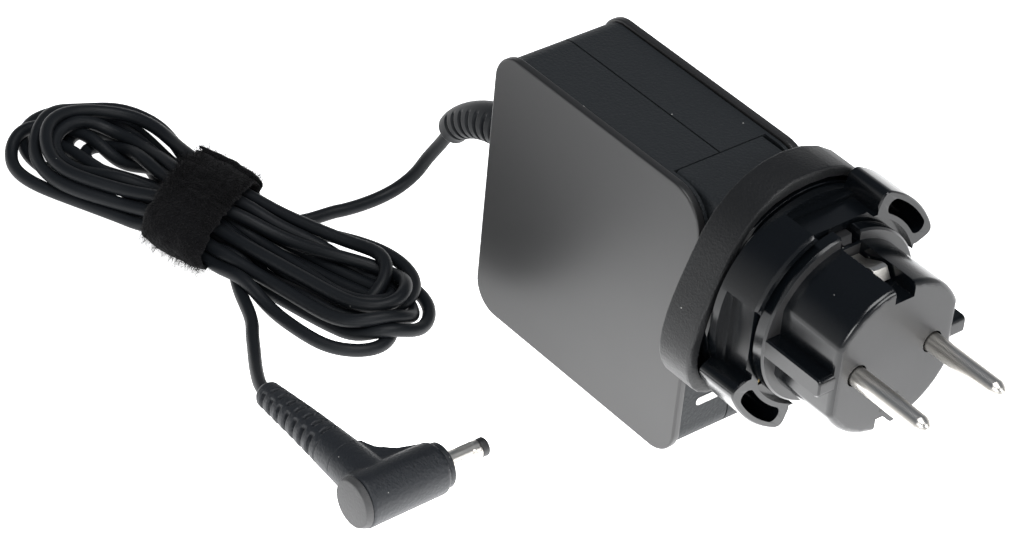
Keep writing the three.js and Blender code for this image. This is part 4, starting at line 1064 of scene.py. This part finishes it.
def head_finish():
    """The polished finish, with a satin front face lightened by painted reflection and black dots of painted
    dimple shade laid over it.
    """
    material = finish("polished head, satin face, painted reflection", (0.0022, 0.003, 0.004), 0.2, grain=900, bump=0.05,
                      tone=0.15, marks=0.12, dust=(300, 0.035))
    tree = material.node_tree
    shader = tree.nodes["Principled BSDF"]
    place = tree.nodes.new("ShaderNodeTexCoord")
    facing = tree.nodes.new("ShaderNodeSeparateXYZ")
    wire(tree, place.outputs["Normal"], facing.inputs[0])
    front = math_node(tree, "GREATER_THAN", facing.outputs["X"], FRONT_FACING)
    gloss = shader.inputs["Roughness"].links[0].from_socket
    satin = math_node(tree, "MULTIPLY", front, FRONT_ROUGHER)
    wire(tree, math_node(tree, "ADD", gloss, satin), shader.inputs["Roughness"])
    painted_shade_dots = None
    for y, z in DIMPLE_SHADE_PLACES:
        away = distance_from(tree, place.outputs["Object"], at(HEAD_FRONT, y, z))
        painted_shade_dot = math_node(tree, "LESS_THAN", away, DIMPLE_SHADE_RADIUS * MM)
        painted_shade_dots = painted_shade_dot if painted_shade_dots is None else math_node(tree, "MAXIMUM", painted_shade_dots, painted_shade_dot)
    colour = shader.inputs["Base Color"].links[0].from_socket
    # Painted reflection: the front face is given a lighter colour.
    paler = mix_colour(tree, front, colour, PAINTED_REFLECTION_COLOUR)
    # Painted shade: the two dimple dots are turned black.
    wire(tree, mix_colour(tree, painted_shade_dots, paler, DIMPLE_SHADE_COLOUR), shader.inputs["Base Color"])
    return material


FINISHES["head"] = head_finish()
print("head front at", round(HEAD_FRONT, 1), "mm")

# %% Giving the finishes out
def give(piece, name):
    """One finish for a whole piece."""
    data = piece.data
    data.materials.clear()
    data.materials.append(FINISHES[name])


SLOTS = {row["node"]: row["material_slot"] for row in frame["record"]["subparts"]}
SLOTS["converter_head"] = "head"
for node, piece in frame["nodes"].items():
    give(piece, SLOTS[node])
for piece, name in (
    (cord, "cord"), (relief, "cord"), (connector_relief, "connector"), (connector_body, "connector"),
    (cap, "cap"), (nose, "connector"), (barrel, "nickel"), (barrel_tip, "resin"), (strap, "strap"),
    (pile, "strap"), (pins[0], "nickel"), (pins[1], "nickel"), (mark, "mark"),
):
    give(piece, name)
print("finishes given")

# %% [markdown]
# ## Floor and light
# A glowing seamless white table does most of the work: the upright faces mirror it softly, which is what
# makes the satin cover glow towards its foot. The glow is strongest near the object and falls off outwards,
# so the cover darkens towards its top. Three soft boxes draw the edges and light the plated metal, and the
# darker room above keeps the tops black.

# %% Floor
GLOW_MIDDLE = (0.02, -0.05, 0)
# Each is a distance from the middle and the strength of the glow there.
GLOW_NEAR, GLOW_FAR = (0.02, 3.2), (0.13, 1.15)


def add_floor():
    half = 3.0
    floor = add_mesh("table", [(-half, -half, 0), (half, -half, 0), (half, half, 0), (-half, half, 0)],
                     [(0, 1, 2, 3)], False)
    material = bpy.data.materials.new("white table")
    material.use_nodes = True
    tree = material.node_tree
    shader = tree.nodes["Principled BSDF"]
    shader.inputs["Base Color"].default_value = (0.92, 0.92, 0.92, 1)
    shader.inputs["Roughness"].default_value = 0.9
    shader.inputs["Specular IOR Level"].default_value = 0.1
    shader.inputs["Emission Color"].default_value = (1, 1, 1, 1)
    place = tree.nodes.new("ShaderNodeTexCoord")
    away = distance_from(tree, place.outputs["Object"], GLOW_MIDDLE)
    glow = tree.nodes.new("ShaderNodeMapRange")
    glow.interpolation_type = "SMOOTHSTEP"
    for socket, value in zip(("From Min", "To Min", "From Max", "To Max"), GLOW_NEAR + GLOW_FAR):
        glow.inputs[socket].default_value = value
    wire(tree, away, glow.inputs["Value"])
    wire(tree, glow.outputs["Result"], shader.inputs["Emission Strength"])
    floor.data.materials.append(material)


add_floor()

# %% Lights
def add_area(name, place, target, size, power):
    data = bpy.data.lights.new(name, "AREA")
    data.energy = power
    data.shape, data.size, data.size_y = "RECTANGLE", size, size
    light = bpy.data.objects.new(name, data)
    bpy.context.scene.collection.objects.link(light)
    direction = Vector(target) - Vector(place)
    light.rotation_euler = direction.to_track_quat("-Z", "Y").to_euler()
    light.location = place


add_area("soft box above", (0.15, -0.05, 0.9), (0, 0, 0), 0.5, 5)
add_area("card beside the camera", (0.62, -0.75, 0.62), (0, 0, 0.04), 0.35, 3.5)
add_area("soft box right", (0.75, 0.25, 0.5), (0, 0, 0.04), 0.35, 2.5)


def add_room():
    """A dim room overhead that brightens towards the horizon and below it."""
    world = bpy.data.worlds.new("room")
    world.use_nodes = True
    tree = world.node_tree
    place = tree.nodes.new("ShaderNodeTexCoord")
    split = tree.nodes.new("ShaderNodeSeparateXYZ")
    ramp = tree.nodes.new("ShaderNodeValToRGB")
    ramp.color_ramp.elements[0].color = (0.9, 0.9, 0.9, 1)
    ramp.color_ramp.elements[1].color = (0.11, 0.125, 0.15, 1)
    ramp.color_ramp.elements[0].position, ramp.color_ramp.elements[1].position = 0.05, 0.6
    wire(tree, place.outputs["Generated"], split.inputs[0])
    wire(tree, split.outputs["Z"], ramp.inputs[0])
    wire(tree, ramp.outputs[0], tree.nodes["Background"].inputs["Color"])
    tree.nodes["Background"].inputs["Strength"].default_value = 0.9
    bpy.context.scene.world = world


add_room()
print("lights", [light.name for light in bpy.data.lights])
